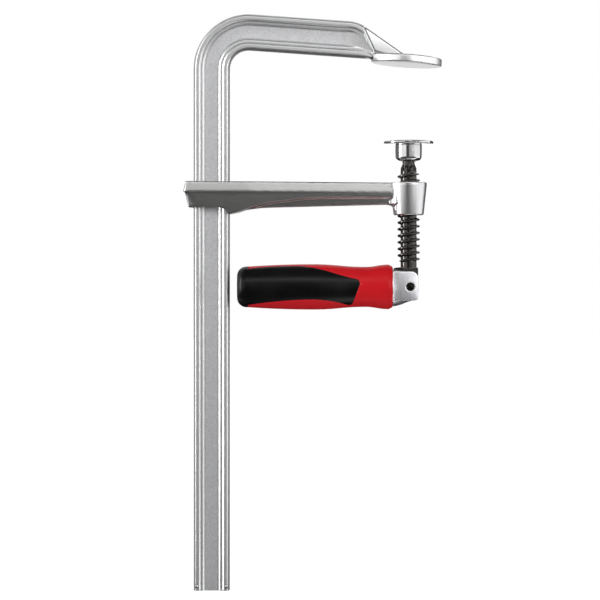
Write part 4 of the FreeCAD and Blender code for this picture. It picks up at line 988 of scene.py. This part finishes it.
# %% [markdown]
# ## Screw
#
# The screw is one turned and rolled piece. A trapezoid ridge climbs the core with a pitch of
# 4.4 millimetres; rolling leaves crest and root rounded, and that is what makes the light
# break into glints. The ridge is the same sweep group as the rail, along a helix. The neck's
# grooves come from the splines of the forming tool, and the flat head carries the hinge eye.

# %% Core, grooved neck and head
THREAD_LOW, THREAD_HIGH = -132.35, -72.15
PITCH = 4.4
CORE_RADIUS, CREST_RADIUS = 5.4, 7.5
BALL_AT, BALL_RADIUS = (0, -59), 5.6
NECK_RADIUS = 4.1
NECK_TOP, NECK_FOOT, CORE_TOP, CORE_FOOT = -63.1, -66, -70, -136.5
SHORT_STEP = 0.25       # between the points that the grooves are pressed into


def arc(middle, radius, degrees):
    """Profile points round a middle, 0 degrees at the top."""
    turns = [math.radians(angle) for angle in degrees]
    return [(middle[0] + radius * math.sin(turn), middle[1] + radius * math.cos(turn))
            for turn in turns]


core_profile = arc(BALL_AT, BALL_RADIUS, range(0, 132, 6))
core_profile += [(NECK_RADIUS, NECK_TOP), (NECK_RADIUS, NECK_FOOT)]
core_profile += [(NECK_RADIUS + (CORE_RADIUS - NECK_RADIUS) * eased(part, 0, 12),
                  NECK_FOOT + (CORE_TOP - NECK_FOOT) * part / 12) for part in range(1, 13)]
core_profile += [(CORE_RADIUS, CORE_FOOT), (0, CORE_FOOT)]
fine_core = []
for (radius, height), (next_radius, next_height) in zip(core_profile, core_profile[1:]):
    cuts = max(1, round((height - next_height) / SHORT_STEP)) if height <= NECK_TOP else 1
    fine_core += [(radius + (next_radius - radius) * cut / cuts,
                   height + (next_height - height) * cut / cuts) for cut in range(cuts)]
fine_core.append(core_profile[-1])
FLUTES, FLUTE_AWAY, FLUTE_RADIUS = 8, 4.8, 1.0
FLUTE_LOW, FLUTE_HIGH = -71.5, -63.6


def fluted(point):
    """Presses the neck's grooves into the turned core."""
    radius = math.hypot(point.x, point.y)
    if not FLUTE_LOW < point.z < FLUTE_HIGH or radius < 3:
        return point
    turn = math.tau / FLUTES
    angle = (math.atan2(point.y, point.x) + turn / 2) % turn - turn / 2
    deep = min(radius, bite(FLUTE_AWAY, FLUTE_RADIUS, angle))
    fade = min(1.0, (point.z - FLUTE_LOW) / 0.8, (FLUTE_HIGH - point.z) / 0.4)
    return at_radius(point, radius + (deep - radius) * fade)


core_shape = reshaped(lathe(fine_core, 144), fluted)

EYE = Vector((0.8, -149.0))
EYE_RADIUS = 5.5
NOTCH_AWAY, NOTCH_RADIUS = 6.5, 1.8


def eye_edge(angle):
    """The eye's rim at this angle, with the two detent notches left and below."""
    radius = min(EYE_RADIUS, *(bite(NOTCH_AWAY, NOTCH_RADIUS, math.radians(angle - notch))
                               for notch in (180, 270)))
    return EYE + Vector((math.cos(math.radians(angle)), math.sin(math.radians(angle)))) * radius


head_outline = rounded([(6.3, -149, 0), (6.3, -135.8, 1.2), (-5.6, -135.8, 0.8),
                        (-7.2, -135.9, 1.0), (-10.1, -136.2, 1.3), (-10.1, -138.35, 0.35),
                        (-4.7, -138.35, 0.3), (-4.7, -147.5, 0)])
head_outline += [eye_edge(angle) for angle in range(168, 360, 3)]
head_rings = []
for inset, depth in both_faces([(0.45, 4.5), (0.13, 4.37), (0, 4.05)]):
    ring = []
    for number, point in enumerate(head_outline):
        before = head_outline[number - 1]
        after = head_outline[(number + 1) % len(head_outline)]
        along = (after - before).normalized()
        shifted = point + Vector((-along.y, along.x)) * inset
        ring.append((shifted.x, depth, shifted.y))
    head_rings.append(ring)
head_shape = loft(head_rings)
print(len(core_shape[0]), "points in the core,", len(head_outline), "round the head")

# %% Thread swept along a helix


def helix_points(low, high, pitch, radius, start_angle, per_turn=48):
    """Points of a right-handed helix about Z."""
    count = round((high - low) / pitch * per_turn)
    points = []
    for step in range(count + 1):
        height = low + (high - low) * step / count
        angle = start_angle + math.tau * (height - low) / pitch
        points.append((radius * math.cos(angle), radius * math.sin(angle), height))
    return points


RIDGE_MIDDLE = 6.3
RIDGE_HALF, RIDGE_FOOT = 1.7, 5.0
ROOT_RADIUS = CORE_RADIUS - 0.05
thread_path = poly_curve("thread_path", helix_points(
    THREAD_LOW, THREAD_HIGH, PITCH, RIDGE_MIDDLE, math.pi))
ridge = [(end, RIDGE_FOOT - RIDGE_MIDDLE, 0) for end in (RIDGE_HALF, -RIDGE_HALF)]
for part in range(21):
    along = RIDGE_HALF * (part / 10 - 1)
    swell = 1 - eased(abs(along), 0.45, 1.5)
    crown = 0.06 * (along / 0.5) ** 2
    ridge.append((along, ROOT_RADIUS - RIDGE_MIDDLE
                  + (CREST_RADIUS - ROOT_RADIUS - crown) * swell, 0))
thread_profile = poly_curve("thread_profile", ridge, True)
thread_shape = swept(thread_path, thread_profile, (0, 0, 1), "screw_steel")
reach = max(math.hypot(point.x, point.y) for point in thread_shape[0])


def run_out(point):
    """Lets the ridge sink into the core over the last part of a turn at each end."""
    radius = math.hypot(point.x, point.y)
    turns_up = (point.z - THREAD_LOW) / PITCH
    near = min(turns_up, (THREAD_HIGH - THREAD_LOW) / PITCH - turns_up)
    return at_radius(point, RIDGE_FOOT + (radius - RIDGE_FOOT) * ramp(near, -0.1, 0.3))


dress("screw_spindle", joined(core_shape, head_shape, reshaped(thread_shape, run_out)), 42)
print("the thread reaches", round(reach, 2), "mm from the axis")

# %% [markdown]
# ## Pressure plate and swivel cup
#
# Both are turned from bar and chromed. The plate is thin at its rim and thicker over the cup,
# and the cup's mouth is rolled in under the ball, which keeps it captive. A lathe follows the
# real process, and many steps keep the mirror-like reflections free of facets.

# %% Turn plate and cup
CAVITY = 6.85
PLATE_TOP, PLATE_SEAT = -51.1, -53.8
PLATE_RADIUS, PLATE_EDGE = 16.7, 1.0
plate_profile = arc(BALL_AT, CAVITY, range(0, 40, 5)) + rounded([
    (4.47, PLATE_SEAT, 0), (9.4, PLATE_SEAT, 0.5), (PLATE_RADIUS, -53.2, PLATE_EDGE),
    (PLATE_RADIUS, PLATE_TOP, PLATE_EDGE), (0, PLATE_TOP, 0)], False, math.radians(12))
dress("pressure_plate", lathe(plate_profile, 192))

CUP_CORNER = 3.3
cup_profile = arc((5.5, -61.4), CUP_CORNER, range(180, 89, -6))
cup_profile += rounded([(8.9, -58.5, 0), (8.9, PLATE_SEAT, 0.2), (4.6, PLATE_SEAT, 0)], False,
                       math.radians(8))
cup_profile += arc(BALL_AT, CAVITY, range(42, 128, 5))
dress("swivel_cup", lathe(cup_profile, 192, closed=True))

# %% [markdown]
# ## Handle fork
#
# The fork is an investment casting, blasted to a grainy satin. The same softening as for the
# arm gives it its cast edges, in a finer grain because it is smaller. Its cheeks are slightly
# crowned, because a blasted cheek is never flat, and the shading across them shows it.

# %% Soften the fork
CHEEK, CROWN = 7.9, 1.2


def crowned(point):
    """Swells the cheeks, most in their middle."""
    if abs(point.y) <= CHEEK or point.x <= -10:
        return point
    swell = (1 - ((point.x + 1.5) / 9) ** 2) * (1 - ((point.z - EYE.y) / 12) ** 2)
    rise = CROWN * max(0.0, swell) * ramp(abs(point.y), CHEEK, CHEEK + 0.5)
    return point + Vector((0, math.copysign(rise, point.y), 0))


casting = softened(merged_copy("handle_fork", "fork_casting"), 0.26, 20)
dress("handle_fork", reshaped(casting, crowned), 60)

# %% [markdown]
# ## Detent spring
#
# A coil of spring wire pushes the plunger against the eye. Its path is again a helix, this
# time about the handle's axis, and the sweep group lays a round wire along it.

# %% Wind the spring
COIL_START, COIL_LENGTH = -29.3, 14.0
COIL_PITCH, COIL_RADIUS, WIRE_RADIUS = 1.8, 2.1, 0.35
upright_coil = helix_points(COIL_START, COIL_START + COIL_LENGTH, COIL_PITCH, COIL_RADIUS,
                            0.0, 28)
coil_path = poly_curve("coil_path", [(z, y, EYE.y - x) for x, y, z in upright_coil])
wire = poly_curve("wire", [(y, x, 0) for x, y in arc((0, 0), WIRE_RADIUS, range(0, 360, 30))],
                  True)
dress("detent_spring", swept(coil_path, wire, (1, 0, 0), "spring_steel"), 60)

# %% [markdown]
# ## Pieces that keep their solid's shape
#
# The pieces left over are plain in reality too, so copies of their solids stand for them.

# %% Dress the rest
for node in frame["nodes"]:
    if node not in dressed:
        finish_piece(merged_copy(node, f"{node}_look"), node)
